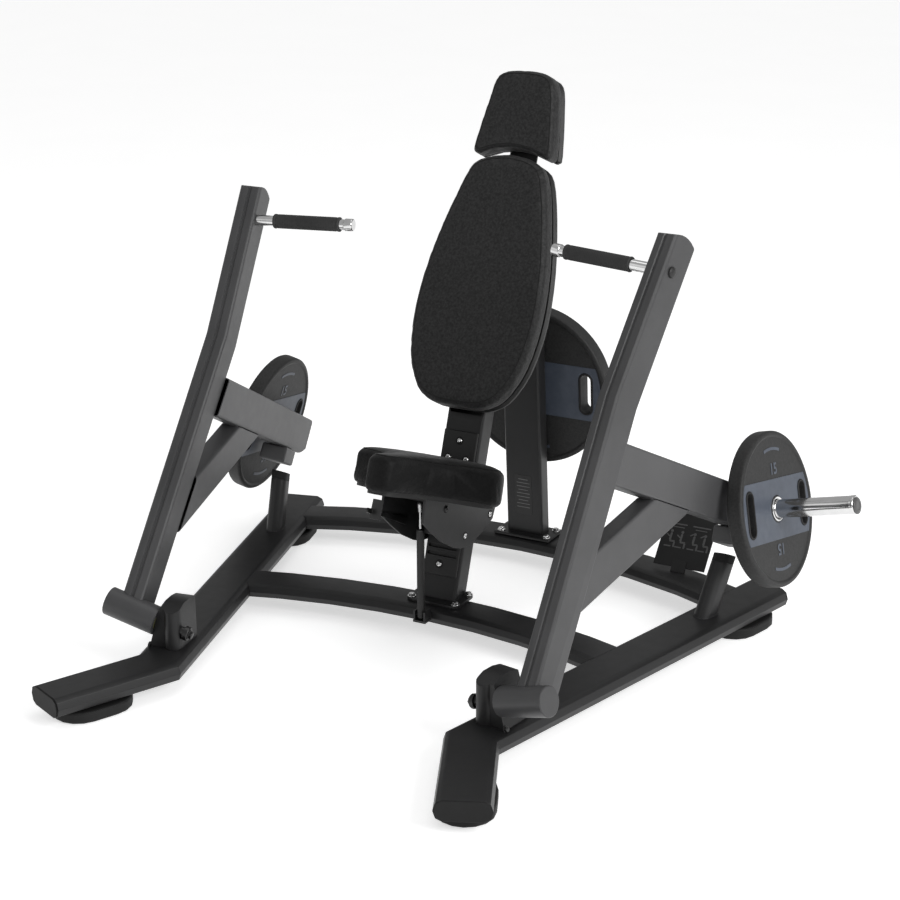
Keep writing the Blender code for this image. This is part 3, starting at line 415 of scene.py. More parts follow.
def tube(points, radius, sides=8, closed=True, bm=None):
    """A round cord swept along points."""
    bm = bm or bmesh.new()
    count = len(points)
    rings = []
    for k, point in enumerate(points):
        ahead = points[(k + 1) % count] if closed or k + 1 < count else point
        behind = points[k - 1] if closed or k else point
        run = (ahead - behind).normalized()
        side = run.cross(UPWARD if abs(run.z) < 0.9 else REARWARD).normalized()
        other = run.cross(side)
        rings.append([bm.verts.new(point + (side * math.cos(math.tau * j / sides)
                                            + other * math.sin(math.tau * j / sides)) * radius)
                      for j in range(sides)])
    pairs = list(zip(rings, rings[1:] + rings[:1])) if closed else list(zip(rings, rings[1:]))
    for low, high in pairs:
        shift = min(range(sides), key=lambda s: sum((low[j].co - high[(j + s) % sides].co).length
                                                    for j in range(0, sides, 2)))
        for j in range(sides):
            bm.faces.new([low[j], low[(j + 1) % sides],
                          high[(j + 1 + shift) % sides], high[(j + shift) % sides]])
    if not closed:
        bm.faces.new(rings[0][::-1])
        bm.faces.new(rings[-1])
    return bm


SURFACES = {}


def surface(node):
    if node not in SURFACES:
        bm = welded(node)
        SURFACES[node] = BVHTree.FromBMesh(bm)
        bm.free()
    return SURFACES[node]


def touch(node, origin, direction):
    """Where a line first meets a CAD node, and the face's normal there."""
    place, normal, _, _ = surface(node).ray_cast(origin, direction.normalized())
    if place is None:
        raise ValueError("nothing to touch on " + node)
    return place, normal


# ---------------------------------------------------------------- fasteners
def hex_bolt(name, place, normal, size, body, finish="black_steel"):
    """A washer and a chamfered hexagon head with a domed top."""
    normal = normal.normalized()
    washer = [(0, 0), (size * 1.28, 0), (size * 1.32, size * 0.05), (size * 1.32, size * 0.16),
              (size * 1.26, size * 0.22), (0, size * 0.22)]
    bm = lathe(washer, place, normal, 32)
    right = normal.orthogonal().normalized()
    up = normal.cross(right)
    head = [(size * math.cos(math.tau * k / 6), size * math.sin(math.tau * k / 6)) for k in range(6)]
    extrude(head, place + normal * size * 0.50, right, up, size * 0.62, bm)
    dome = [(0, size * 0.80), (size * 0.80, size * 0.80), (size * 0.72, size * 0.90),
            (size * 0.40, size * 0.97), (0, size * 0.98)]
    lathe(dome, place, normal, 24, bm)
    return soften(new_piece(name, bm, finish, body), size * 0.05, 2)


def socket_screw(name, place, normal, size, body, finish="chrome"):
    """A button-head screw with a round socket recess, sitting in a dark ring."""
    normal = normal.normalized()
    seat_ring = [(size * 1.15, -0.0008), (size * 1.60, -0.0008), (size * 1.62, 0.0003),
                 (size * 1.50, 0.0009), (size * 1.18, 0.0005)]
    ring = new_piece(name + "_ring", lathe(seat_ring, place, normal, 36), "thread", body)
    floor = size * 0.20
    profile = [(0, -0.0008), (size * 1.12, -0.0008), (size * 1.12, size * 0.10), (size * 0.98, size * 0.34),
               (size * 0.72, size * 0.48), (size * 0.52, size * 0.52), (size * 0.50, size * 0.50),
               (size * 0.48, floor), (0, floor)]
    bm = lathe(profile, place, normal, 36)
    screw = new_piece(name, bm, finish, body)
    return ring, soften(screw, size * 0.04, 1, 40)


# ---------------------------------------------------------------- metal work kept from the CAD
def dress_cad_nodes():
    """Every carried-over node gets rounded edges and its material. wide gives the larger rounds."""
    slots = {entry["node"]: entry["material_slot"] for entry in frame["record"]["subparts"]}
    wide = {"backrest_shell": 0.006, "headrest_shell": 0.005, "foot": 0.003, "rail_cap": 0.002,
            "stop_bumper": 0.003, "handle_grip": 0.002, "pivot_bracket": 0.0016}
    special = {"handle_grip": "grip_rubber", "adjust_lever": "black_steel", "pivot_shaft": "black_steel"}
    for name, node in NODES.items():
        finish = next((value for key, value in special.items() if name.startswith(key)), slots[name])
        node.data.materials.clear()
        node.data.materials.append(MATERIALS[finish])
        node.data.polygons.foreach_set("use_smooth", [True] * len(node.data.polygons))
        width = next((value for key, value in wide.items() if name.startswith(key)), EDGE_BREAK)
        soften(node, width, 3 if width > EDGE_BREAK else 2)


# ---------------------------------------------------------------- pads
def main_normal(bm, near):
    """The area-weighted normal of the flat faces that point roughly along a direction."""
    total = Vector()
    for face in bm.faces:
        if face.normal.dot(near) > 0.9:
            total += face.normal * face.calc_area()
    return total.normalized()


def face_loop(bm, normal):
    """The boundary of the face that points along normal, as an ordered ring of points."""
    inside = {face for face in bm.faces if face.normal.dot(normal) > 0.985}
    follow = {}
    for face in inside:
        for loop in face.loops:
            if not any(other in inside for other in loop.edge.link_faces if other is not face):
                follow[loop.vert] = loop.link_loop_next.vert
    start = vert = next(iter(follow))
    ring = [start.co.copy()]
    while True:
        vert = follow[vert]
        if vert is start:
            return ring
        ring.append(vert.co.copy())


def resampled(ring, spacing, passes=3):
    """A closed ring at even spacing, lightly smoothed."""
    lengths = [(b - a).length for a, b in zip(ring, ring[1:] + ring[:1])]
    total = sum(lengths)
    count = max(12, int(total / spacing))
    points, k, walked = [], 0, 0.0
    for i in range(count):
        target = total * i / count
        while walked + lengths[k] < target:
            walked += lengths[k]
            k += 1
        t = (target - walked) / lengths[k]
        points.append(ring[k].lerp(ring[(k + 1) % len(ring)], t))
    for _ in range(passes):
        points = [(points[i - 1] + points[i] * 2 + points[(i + 1) % count]) / 4 for i in range(count)]
    return points


def inflate(piece, back, normal, reach, hold):
    """Swells the pad with the cloth solver. Whatever lies lower than hold over its back stays put.

    No point moves further than reach.
    """
    rest = [vert.co.copy() for vert in piece.data.vertices]
    held = piece.vertex_groups.new(name="held")
    held.add([k for k, co in enumerate(rest) if (co - back).dot(normal) < hold], 1.0, "REPLACE")
    cloth = piece.modifiers.new("fill", "CLOTH")
    settings = cloth.settings
    settings.quality = 5
    settings.mass = 0.3
    settings.tension_stiffness = settings.compression_stiffness = 15
    settings.bending_stiffness = 4
    settings.use_pressure = True
    settings.uniform_pressure_force = PRESSURE
    settings.vertex_group_mass = "held"
    settings.effector_weights.gravity = 0
    cloth.point_cache.frame_start = 1
    cloth.point_cache.frame_end = SIM_FRAMES
    for number in range(1, SIM_FRAMES + 1):
        bpy.context.scene.frame_set(number)
    graph = bpy.context.evaluated_depsgraph_get()
    swollen = [vert.co.copy() for vert in piece.evaluated_get(graph).data.vertices]
    piece.modifiers.clear()
    bpy.context.scene.frame_set(1)
    for vert, before, after in zip(piece.data.vertices, rest, swollen):
        step = after - before
        vert.co = before + step * (reach / (reach + step.length))
    return piece


def pad(name, node, near, finish, grow, sink, reach, rounding, hold, seam_finish):
    """A pad rebuilt from its CAD solid: widened, thinned, remeshed, rounded, filled and given its seam.

    grow is added on every side and sink is taken off the top. rounding is the number of smoothing passes.
    """
    bm = welded(node)
    normal = main_normal(bm, near)
    seam = face_loop(bm, normal)
    heights = [vert.co.dot(normal) for vert in bm.verts]
    middle = sum((vert.co for vert in bm.verts), Vector()) / len(bm.verts)
    back = normal * min(heights)
    along = normal.cross(ACROSS)
    half_width = max(abs((vert.co - middle).dot(ACROSS)) for vert in bm.verts)
    half_length = max(abs((vert.co - middle).dot(along)) for vert in bm.verts)
    for vert in bm.verts:
        offset = vert.co - middle
        rise = vert.co.dot(normal) - min(heights)
        wider = ACROSS * offset.dot(ACROSS) * grow / half_width
        longer = along * offset.dot(along) * grow / half_length
        vert.co += wider + longer
        vert.co -= normal * rise * sink / (max(heights) - min(heights))
    piece = new_piece(name, bm, finish, None)
    remesh = piece.modifiers.new("remesh", "REMESH")
    remesh.mode = "VOXEL"
    remesh.voxel_size = VOXEL
    round_off = piece.modifiers.new("round", "SMOOTH")
    round_off.factor = 0.5
    round_off.iterations = rounding
    bpy.context.view_layer.update()
    baked(piece)
    inflate(piece, back, normal, reach, hold)
    piece.data.polygons.foreach_set("use_smooth", [True] * len(piece.data.polygons))
    piece.data.materials.clear()
    piece.data.materials.append(MATERIALS[finish])
    finer = piece.modifiers.new("finer", "SUBSURF")
    finer.levels = finer.render_levels = 1
    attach(piece, BODY_OF[node])
    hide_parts(node)
    add_seam(name, piece, seam, normal, BODY_OF[node], seam_finish)
    return piece


def add_seam(name, piece, ring, normal, body, finish):
    """The sewn joint between the face panel and the side panel, half sunk in the swollen surface."""
    graph = bpy.context.evaluated_depsgraph_get()
    hull = BVHTree.FromObject(piece, graph)
    points = []
    for point in resampled(ring, 0.006):
        place, _, _, _ = hull.ray_cast(point + normal * 0.05, -normal)
        if place is not None:
            points.append(place + normal * 0.0002)
    bm = tube(points, 0.0013, 8)
    new_piece(name + "_seam", bm, finish, body)


# ---------------------------------------------------------------- weight plates
def slot_outline(grow=0.0):
    half_width, half_height = SLOT_SIZE[0] / 2, SLOT_SIZE[1] / 2
    outline = []
    for end in (1, -1):
        for k in range(11):
            angle = math.pi * k / 10
            outline.append((end * (half_width + grow) * math.cos(angle),
                            end * (half_height - half_width + (half_width + grow) * math.sin(angle))))
    return outline


def plate_profile(radius, thickness):
    """One side is mirrored to the other: hub land, sunk web, lip and rounded rim."""
    half = thickness / 2
    web = half - WEB_DEPTH
    side = [(BORE_RADIUS, half - 0.0015), (0.0325, half - 0.0015), (0.0340, web + 0.0004), (0.0355, web),
            (radius - 0.0165, web), (radius - 0.0150, web + 0.0012), (radius - 0.0120, half - 0.0003),
            (radius - 0.0100, half), (radius - 0.0050, half - 0.0006), (radius - 0.0022, half - 0.0024),
            (radius - 0.0005, half - 0.0052), (radius, half - 0.0085)]
    return side + [(r, -h) for r, h in reversed(side)]


def weight_plate(node, axis, turn, size, numeral):
    """A rubber plate with a painted band, framed hand slots, a steel hub ring and raised numerals."""
    radius, thickness = size
    body = BODY_OF[node]
    low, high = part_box(node)
    middle = (low + high) / 2
    axis = axis.normalized()
    level = UPWARD.cross(axis).normalized()
    upright = axis.cross(level)
    right = level * math.cos(turn) + upright * math.sin(turn)
    up = upright * math.cos(turn) - level * math.sin(turn)
    offset = SLOT_OFFSET * radius / ARM_PLATE[0]
    name = node.replace("weight_plate", "plate_body").replace("storage_plate", "stored_plate_body")
    disc = new_piece(name, lathe(plate_profile(radius, thickness), middle, axis, 144), "plate_rubber", None)
    for side in (1, -1):
        tool = new_piece("slot_tool", extrude(slot_outline(), middle + right * side * offset, right, up,
                                              thickness * 2), "plate_rubber", None)
        cut(disc, tool)
    disc.data.polygons.foreach_set("use_smooth", [True] * len(disc.data.polygons))
    soften(disc, 0.0010, 2, 35)
    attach(disc, body)
    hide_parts(node)
    for face, label in ((1, "front"), (-1, "back")):
        surface_at = middle + axis * face * (thickness / 2 - WEB_DEPTH)
        plate_face(disc.name + "_" + label, surface_at, axis * face, right * face, up, radius, offset, body,
                   numeral)


def plate_face(name, centre, out, right, up, radius, offset, body, numeral):
    """The band, slot frames, hub ring and numerals on one side of a plate."""
    band = extrude(band_outline(radius - BAND_INSET, BAND_HALF), centre + out * 0.0004, right, up, 0.0016)
    inlay = new_piece(name + "_band", band, "band_paint", None)
    for side in (1, -1):
        slot = extrude(slot_outline(0.0065), centre + right * side * offset, right, up, 0.02)
        cut(inlay, new_piece("slot_tool", slot, "band_paint", None))
    hub_hole = lathe([(0, -0.02), (0.0352, -0.02), (0.0352, 0.02), (0, 0.02)], centre, out, 64)
    cut(inlay, new_piece("hub_tool", hub_hole, "band_paint", None))
    inlay.data.polygons.foreach_set("use_smooth", [True] * len(inlay.data.polygons))
    soften(inlay, 0.0003, 2, 35)
    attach(inlay, body)
    bm = bmesh.new()
    for side in (1, -1):
        middle = centre + right * side * offset
        rings = []
        for grow, height in ((0.0002, -0.004), (0.0002, 0.0022), (0.0010, 0.0032), (0.0042, 0.0032),
                             (0.0058, 0.0024), (0.0062, 0.0), (0.0062, -0.004)):
            rings.append([bm.verts.new(middle + right * x + up * y + out * height)
                          for x, y in slot_outline(grow)])
        count = len(rings[0])
        for one, two in zip(rings, rings[1:] + rings[:1]):
            for k in range(count):
                bm.faces.new([one[k], one[(k + 1) % count], two[(k + 1) % count], two[k]])
    new_piece(name + "_slot_frames", bm, "rubber", body)
    ring = [(BORE_RADIUS + 0.0004, 0.0), (0.0318, 0.0), (0.0318, 0.0034), (0.0310, 0.0044),
            (0.0288, 0.0046), (0.0270, 0.0036), (BORE_RADIUS + 0.0004, 0.0026)]
    hub = new_piece(name + "_hub_ring", lathe(ring, centre, out, 72), "chrome", body)
    soften(hub, 0.0003, 2, 35)
    for turn, end in ((1, "top"), (-1, "foot")):
        number_at = centre + up * turn * (BAND_HALF + 0.024) * radius / ARM_PLATE[0]
        place_numeral(name + "_number_" + end, numeral, number_at, out, right * turn, up * turn, body)
        outline = arc_bar(radius - 0.046, 0.0075, math.radians(32), turn)
        bar = extrude(outline, centre + out * 0.0002, right, up, 0.0012)
        new_piece(name + "_bar_" + end, bar, "band_paint", body, False)


def band_outline(reach, half):
    """A disc cut by two level lines."""
    corner = math.asin(half / reach)
    outline = []
    for start in (-corner, math.pi - corner):
        for k in range(25):
            angle = start + 2 * corner * k / 24
            outline.append((reach * math.cos(angle), reach * math.sin(angle)))
    return outline


def arc_bar(radius, width, angle, turn):
    """A short plain bar that follows the rim, centred above or below the hub."""
    angles = [math.pi / 2 * turn + angle * (k / 24 - 0.5) for k in range(25)]
    outer, inner = radius + width / 2, radius - width / 2
    points = [(outer * math.cos(a), outer * math.sin(a)) for a in angles]
    return points + [(inner * math.cos(a), inner * math.sin(a)) for a in reversed(angles)]


def place_numeral(name, text, centre, out, right, up, body):
    """A raised number, turned to mesh so that it rides like any other piece."""
    curve = bpy.data.curves.new(name, "FONT")
    curve.body = text
    curve.size = 0.040
    curve.extrude = 0.0005
    curve.offset = 0.0009
    curve.align_x, curve.align_y = "CENTER", "CENTER"
    shape = bpy.data.objects.new(name + "_curve", curve)
    bpy.context.scene.collection.objects.link(shape)
    bpy.context.view_layer.update()
    mesh = bpy.data.meshes.new_from_object(shape.evaluated_get(bpy.context.evaluated_depsgraph_get()))
    bpy.data.objects.remove(shape)
    mesh.transform(Matrix((right, up, right.cross(up))).transposed().to_4x4())
    mesh.transform(Matrix.Translation(centre + out * 0.0006))
    bm = bmesh.new()
    bm.from_mesh(mesh)
    return new_piece(name, bm, "band_paint", body, False)


def weight_plates():
    for side, sign in SIDES:
        axis = Vector(JOINTS[side + "_plate_slide"]["axis"])
        weight_plate("weight_plate_" + side, axis, PLATE_TURN * sign, ARM_PLATE, "15")
    weight_plate("storage_plate", -Vector(JOINTS["stored_plate_slide"]["axis"]), 0.0, STORED_PLATE, "20")


# ---------------------------------------------------------------- pegs, handles and small fittings
def end_cap(name, node, axis, body, radius):
    """A grey plastic cap in the open end of a peg."""
    axis = axis.normalized()
    verts = [vert.co for vert in NODES[node].data.vertices]
    tip = max(vert.dot(axis) for vert in verts)
    end = [vert for vert in verts if vert.dot(axis) > tip - 0.0005]
    centre = sum(end, Vector()) / len(end)
    profile = [(0, 0.0001), (radius * 0.99, 0.0001), (radius, 0.0012), (radius * 0.97, 0.0034),
               (radius * 0.85, 0.0050), (radius * 0.55, 0.0056), (radius * 0.52, 0.0044), (0, 0.0044)]
    cap = new_piece(name, lathe(profile, centre, axis, 48), "cap_plastic", body)
    return soften(cap, 0.0003, 2, 50)


def pegs():
    for side, _ in SIDES:
        axis = Vector(JOINTS[side + "_plate_slide"]["axis"])
        end_cap("peg_cap_" + side, "weight_peg_" + side, axis, side + "_arm", PEG_CAP_RADIUS)
    axis = Vector(JOINTS["stored_plate_slide"]["axis"])
    end_cap("storage_peg_cap", "storage_peg", axis, "frame", PEG_CAP_RADIUS)


def handles():
    """The bolt that holds each handle, and the ribs on its grip."""
    for side, sign in SIDES:
        axis = Vector((HANDLE_AXIS.x * sign, HANDLE_AXIS.y, HANDLE_AXIS.z))
        point = Vector((HANDLE_POINT.x * sign, HANDLE_POINT.y, HANDLE_POINT.z))
        place, normal = touch("arm_upright_" + side, point - axis * 0.6, axis)
        profile = [(0, 0), (0.0135, 0), (0.0138, 0.0012), (0.0128, 0.0040), (0.0095, 0.0062),
                   (0.0060, 0.0069), (0, 0.0071)]
        cap = new_piece("handle_bolt_cover_" + side, lathe(profile, place, normal, 40), "shell_plastic",
                        side + "_arm")
        soften(cap, 0.0004, 2)
        grip_ribs(side, axis)


def grip_ribs(side, axis):
    """Raised rings close together along the middle of the grip, and a flange at each end."""
    node = "handle_grip_" + side
    verts = [vert.co for vert in NODES[node].data.vertices]
    middle = sum(verts, Vector()) / len(verts)
    span = [vert.dot(axis) for vert in verts]
    start, end = min(span), max(span)
    foot = middle + axis * (start - middle.dot(axis))
    length = end - start
    radius = max(((vert - foot) - axis * (vert - foot).dot(axis)).length for vert in verts)
    bore = min(((vert - foot) - axis * (vert - foot).dot(axis)).length for vert in verts)
    profile = [(bore, 0.0002), (radius + 0.0002, 0.0002), (radius + 0.0010, 0.0015),
               (radius + 0.0010, 0.0035),
               (radius + 0.0006, 0.0055), (radius - 0.0002, 0.0065)]
    position = 0.0100
    while position < length - 0.0120:
        profile += [(radius - 0.0002, position), (radius + 0.0004, position + 0.0008),
                    (radius + 0.0004, position + 0.0024), (radius - 0.0002, position + 0.0032)]
        position += 0.0048
    profile += [(radius - 0.0002, length - 0.0065), (radius + 0.0006, length - 0.0055),
                (radius + 0.0010, length - 0.0030), (radius + 0.0006, length - 0.0010),
                (bore, length - 0.0004)]
    sleeve = new_piece("grip_sleeve_" + side, lathe(profile, foot, axis, 40), "grip_rubber", side + "_arm")
    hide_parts(node)


def base_bolts():
    """Bolts through the foot plates of the post and the column."""
    for number, (x, y) in enumerate(((0.064, 0.090), (-0.064, 0.090), (0.064, 0.164), (-0.064, 0.164))):
        place, normal = touch("seat_post", Vector((x, y, 0.12)), -UPWARD)
        hex_bolt("post_bolt_%d" % number, place, normal, 0.0085, "frame", "chrome")
    for number, (x, y) in enumerate(((0.070, 0.619), (-0.070, 0.619), (0.070, 0.682), (-0.070, 0.682))):
        place, normal = touch("rear_column", Vector((x, y, 0.12)), -UPWARD)
        hex_bolt("column_bolt_%d" % number, place, normal, 0.0085, "frame", "chrome")


def pivot_bolts():
    """Two bolts outboard of each bracket and the shaft's nut on its inner face."""
    for side, sign in SIDES:
        bracket = "pivot_bracket_" + side
        low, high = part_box(bracket)
        pivot = Vector(JOINTS[side + "_arm_pivot"]["pos_m"])
        axis = Vector(JOINTS[side + "_arm_pivot"]["axis"])
        outer = high.x if sign > 0 else low.x
        for number, shift in enumerate((-0.018, 0.006)):
            origin = Vector((outer - sign * 0.016, pivot.y + shift - 0.006, 0.125))
            place, normal, _, _ = surface(bracket).ray_cast(origin, -UPWARD)
            if place is not None and place.z < 0.1:
                hex_bolt("bracket_bolt_%s_%d" % (side, number), place, normal, 0.0070, "frame")
        inner = pivot - axis * sign * 0.30
        place, normal = touch("pivot_shaft_" + side, inner, axis * sign)
        hex_bolt("pivot_nut_" + side, place, normal, 0.0100, "frame", "black_steel")


def carriage_bolts():
    """Screws through the carriage's side plates."""
    for side, sign in SIDES:
        for number, (y, z, finish) in enumerate(((0.290, 0.268, "chrome"), (0.149, 0.256, "chrome"),
                                                 (0.046, 0.365, "black_steel"))):
            place, normal = touch("seat_carriage", Vector((sign * 0.3, y, z)), Vector((-sign, 0, 0)))
            socket_screw("carriage_screw_%s_%d" % (side, number), place, normal, 0.0068, "seat", finish)


def on_post(x, height):
    """A point well in front of the seat post at a height measured along it."""
    foot = Vector((0, -0.060, 0))
    return foot + ACROSS * x + POST_LEAN * height + POST_FRONT * 0.4


def cover_details():
    """Screws in both covers and two slots across the lower one."""
    for number, (x, height) in enumerate(((0.0, 0.550), (0.026, 0.504), (-0.026, 0.504))):
        place, normal = touch("seat_post_top_cover", on_post(x, height), -POST_FRONT)
        socket_screw("top_cover_screw_%d" % number, place, normal, 0.0066, "frame")
    place, normal = touch("seat_post_cover", on_post(-0.004, 0.226), -POST_FRONT)
    socket_screw("cover_screw", place, normal, 0.0070, "frame")
    cover = new_piece("lower_cover", welded("seat_post_cover"), "shell_plastic", None)
    for height in (0.252, 0.272):
        place, normal = touch("seat_post_cover", on_post(0.0, height), -POST_FRONT)
        tool = extrude(rounded_outline(0.086, 0.009, 0.0044), place, ACROSS, POST_LEAN, 0.014)
        cut(cover, new_piece("slot_tool", tool, "shell_plastic", None))
    cover.data.polygons.foreach_set("use_smooth", [True] * len(cover.data.polygons))
    soften(cover, 0.0010, 2)
    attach(cover, "frame")
    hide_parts("seat_post_cover")


def rear_bolts():
    """Bolts that hold the pads to their carrier, seen from behind."""
    low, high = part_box("pad_carrier")
    for number, share in enumerate((0.12, 0.30, 0.46, 0.80, 0.93)):
        z = low.z + (high.z - low.z) * share
        for sign in (1, -1):
            behind = Vector((sign * 0.024, 1.2, z))
            place, normal, _, _ = surface("pad_carrier").ray_cast(behind, -REARWARD)
            blocked, _, _, _ = surface("rear_column").ray_cast(behind, -REARWARD)
            if place is None or (blocked is not None and blocked.y > place.y):
                continue
            side = "right" if sign > 0 else "left"
            hex_bolt("pad_bolt_%d_%s" % (number, side), place, normal, 0.0070, "frame")


def gas_spring_ends():
    """The dark steel collar where the rod enters its cylinder, and the eye above the rod."""
    low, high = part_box("gas_cylinder")
    middle = (low + high) / 2
    top = Vector((middle.x, middle.y, high.z))
    collar = [(0.0046, 0.0002), (0.0098, 0.0002), (0.0098, 0.0030), (0.0075, 0.0045), (0.0046, 0.0045)]
    collar_piece = new_piece("gas_collar", lathe(collar, top, UPWARD, 32), "black_steel",
                             "gas_spring_cylinder")
    soften(collar_piece, 0.0003)
    _, rod_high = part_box("gas_rod")
    tip = Vector((middle.x, middle.y, rod_high.z))
    eye = [(0, -0.012), (0.0062, -0.012), (0.0066, -0.004), (0.0085, 0.002), (0.0085, 0.010),
           (0.0060, 0.014), (0, 0.015)]
    soften(new_piece("gas_rod_eye", lathe(eye, tip, UPWARD, 28), "steel", "gas_spring_rod"), 0.0004)


def placard_face():
    """Plain blocks and bars on the board in place of its printing."""
    node = "placard"
    bm = welded(node)
    normal = main_normal(bm, Vector((0, -0.75, 0.65)))
    bm.free()
    low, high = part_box(node)
    up = (UPWARD - normal * normal.z).normalized()
    centre, _ = touch(node, (low + high) / 2 + normal * 0.2, -normal)
    sheet = bmesh.new()
    for x, y, width, height in ((-0.034, 0.040, 0.052, 0.0035), (-0.034, 0.031, 0.040, 0.0025),
                                (0.034, 0.040, 0.052, 0.0035), (0.034, 0.031, 0.034, 0.0025)):
        middle = centre + ACROSS * x + up * y + normal * 0.0002
        extrude(rounded_outline(width, height, height * 0.45, 3), middle, ACROSS, up, 0.0006, sheet)
    for x in (-0.046, -0.016, 0.020, 0.050):
        figure(sheet, centre + ACROSS * x - up * 0.006 + normal * 0.0002, up, x > 0)
    new_piece("placard_print", sheet, "print_grey", "frame", False)


def figure(bm, centre, up, raised):
    """A very plain seated figure: a round head and straight bars."""
    turn = 1 if raised else -1
    angles = [math.tau * k / 16 for k in range(16)]
    head = [(0.0042 * math.cos(angle), 0.0042 * math.sin(angle)) for angle in angles]
    extrude(head, centre + up * 0.024, ACROSS, up, 0.0006, bm)
    bars = ((0.0, 0.008, 0.006, 0.022, 0), (0.007, -0.005, 0.016, 0.005, 0),
            (0.014, -0.014, 0.005, 0.016, 0), (-0.008, 0.016 + 0.005 * turn, 0.012, 0.0035, 35 * turn),
            (-0.003, -0.020, 0.020, 0.0035, 0))
    for x, y, width, height, degrees in bars:
        c, s = math.cos(math.radians(degrees)), math.sin(math.radians(degrees))
        outline = [(x + px * c - py * s, y + px * s + py * c)
                   for px, py in rounded_outline(width, height, min(width, height) * 0.4, 3)]
        extrude(outline, centre, ACROSS, up, 0.0006, bm)


def column_label():
    """A plain raised panel low on the column's front face."""
    place, normal = touch("rear_column", Vector((0.0, 0.1, 0.205)), REARWARD)
    up = (UPWARD - normal * normal.z).normalized()
    plate = extrude(rounded_outline(0.052, 0.118, 0.004, 4), place + normal * 0.0003, ACROSS, up, 0.0010)
    panel = new_piece("column_panel", plate, "shell_plastic", "frame")
    soften(panel, 0.0002, 1)
    bars = bmesh.new()
    for row in range(9):
        width = 0.040 if row % 3 else 0.030
        middle = place + normal * 0.0010 + up * (0.046 - row * 0.0105)
        extrude(rounded_outline(width, 0.0022, 0.001, 2), middle, ACROSS, up, 0.0004, bars)
    new_piece("column_panel_bars", bars, "print_grey", "frame", False)


# ---------------------------------------------------------------- welds
WELDED_PAIRS = (("lever_brace", "arm_upright"), ("lever_brace", "weight_lever"),
                ("weight_lever", "arm_upright"), ("stop_post", "rail"), ("stop_saddle", "weight_lever"))


def contact_loops(node, other):
    """Rings of edges around the faces of a node that sit against another node."""
    bm = welded(node)
    near = surface(other)
    touching = set()
    for face in bm.faces:
        close = all(near.find_nearest(vert.co)[3] < 0.0012 for vert in face.verts)
        if close and near.find_nearest(face.calc_center_median())[3] < 0.0012:
            touching.add(face)
    follow = {}
    for face in touching:
        for loop in face.loops:
            if not any(linked in touching for linked in loop.edge.link_faces if linked is not face):
                follow[loop.vert.index] = (loop.link_loop_next.vert.index, loop.vert.co.copy())
    rings = []
    while follow:
        start = next(iter(follow))
        key, ring = start, []
        while key in follow:
            step, place = follow.pop(key)
            ring.append(place)
            key = step
        if key == start and len(ring) > 3:
            rings.append(ring)
    bm.free()
    return rings


def weld_beads():
    """Rippled beads along the joints between welded tubes."""
    for side, _ in SIDES:
        for first, second in WELDED_PAIRS:
            bead = bmesh.new()
            for ring in contact_loops(first + "_" + side, second + "_" + side):
                points = resampled(ring, 0.0024, 0)
                ripple_tube(points, bead)
            if bead.faces:
                finish = "frame_paint" if first == "stop_post" else "arm_paint"
                new_piece("weld_%s_%s_%s" % (first, second, side), bead, finish,
                          BODY_OF[first + "_" + side])
            else:
                bead.free()


def ripple_tube(points, bm):
    """A cord whose thickness ripples from ring to ring."""
    before = len(bm.verts)
    tube(points, WELD_RADIUS, 6, True, bm)
    bm.verts.ensure_lookup_table()
    for k, point in enumerate(points):
        swell = 1.0 + 0.16 * math.cos(math.pi * k)
        for j in range(6):
            vert = bm.verts[before + k * 6 + j]
            vert.co = point + (vert.co - point) * swell


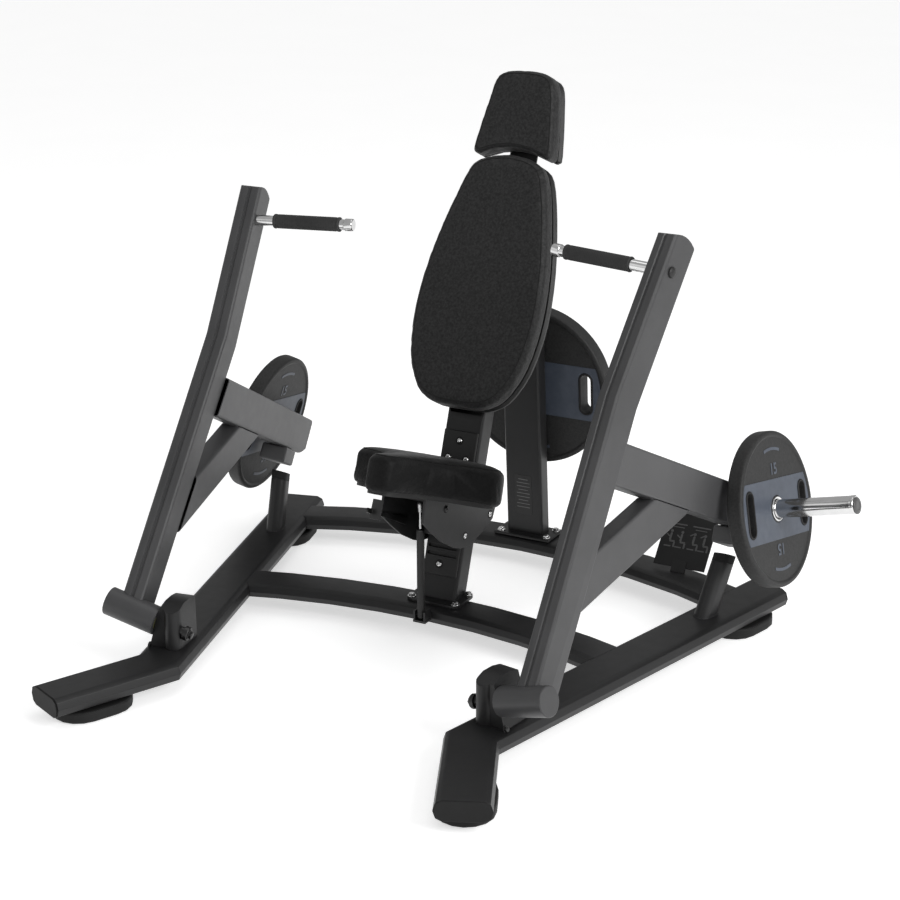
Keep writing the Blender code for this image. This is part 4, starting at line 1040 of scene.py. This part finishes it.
# ---------------------------------------------------------------- set, lights and camera
def studio():
    scene = bpy.context.scene
    bm = bmesh.new()
    bmesh.ops.create_grid(bm, x_segments=8, y_segments=8, size=FLOOR_HALF)
    for vert in bm.verts:
        vert.co.z = -FLOOR_DROP
    ground = new_piece("studio_floor", bm, "floor", None)
    world = bpy.data.worlds.new("studio")
    world.use_nodes = True
    world.node_tree.nodes["Background"].inputs["Color"].default_value = (1.0, 1.0, 1.0, 1)
    world.node_tree.nodes["Background"].inputs["Strength"].default_value = SKY_STRENGTH
    scene.world = world
    scene.view_settings.view_transform = "Standard"
    for name, place, size, power in LAMPS:
        light = bpy.data.lights.new(name, "AREA")
        light.shape = "DISK"
        light.size = size
        light.energy = power
        lamp = bpy.data.objects.new(name, light)
        lamp.location = place
        lamp.rotation_mode = "QUATERNION"
        lamp.rotation_quaternion = (LAMP_TARGET - place).to_track_quat("-Z", "Y")
        scene.collection.objects.link(lamp)


def camera():
    """The view from the front right, a little above, with a long lens."""
    scene = bpy.context.scene
    ahead = Vector((-math.sin(CAMERA_AZIMUTH) * math.cos(CAMERA_DOWN),
                    math.cos(CAMERA_AZIMUTH) * math.cos(CAMERA_DOWN), -math.sin(CAMERA_DOWN)))
    right = Vector((math.cos(CAMERA_AZIMUTH), math.sin(CAMERA_AZIMUTH), 0))
    up = right.cross(ahead)
    level, tilt = math.cos(CAMERA_ROLL), math.sin(CAMERA_ROLL)
    turned_right = right * level + up * tilt
    turned_up = up * level - right * tilt
    lens = bpy.data.cameras.new("camera")
    lens.lens = CAMERA_LENS
    lens.sensor_width = CAMERA_SENSOR
    lens.clip_end = 300
    eye = bpy.data.objects.new("camera", lens)
    pose = Matrix((turned_right, turned_up, -ahead)).transposed().to_4x4()
    pose.translation = CAMERA_PLACE
    eye.matrix_world = pose
    scene.collection.objects.link(eye)
    scene.camera = eye


# ---------------------------------------------------------------- build
dress_cad_nodes()
camera()
pad("backrest_pad", "backrest_cushion", Vector((0, -0.87, 0.49)), "vinyl",
    grow=0.003, sink=0.006, reach=0.006, rounding=5, hold=0.004, seam_finish="thread")
pad("headrest_pad", "headrest_cushion", Vector((0, -0.92, 0.38)), "vinyl",
    grow=0.0025, sink=0.005, reach=0.005, rounding=4, hold=0.004, seam_finish="thread")
pad("seat_pad", "seat_cushion", POST_LEAN, "seat_vinyl",
    grow=0.000, sink=0.003, reach=0.009, rounding=10, hold=0.018, seam_finish="seat_vinyl")
weight_plates()
pegs()
handles()
base_bolts()
pivot_bolts()
carriage_bolts()
cover_details()
rear_bolts()
gas_spring_ends()
placard_face()
column_label()
weld_beads()
studio()
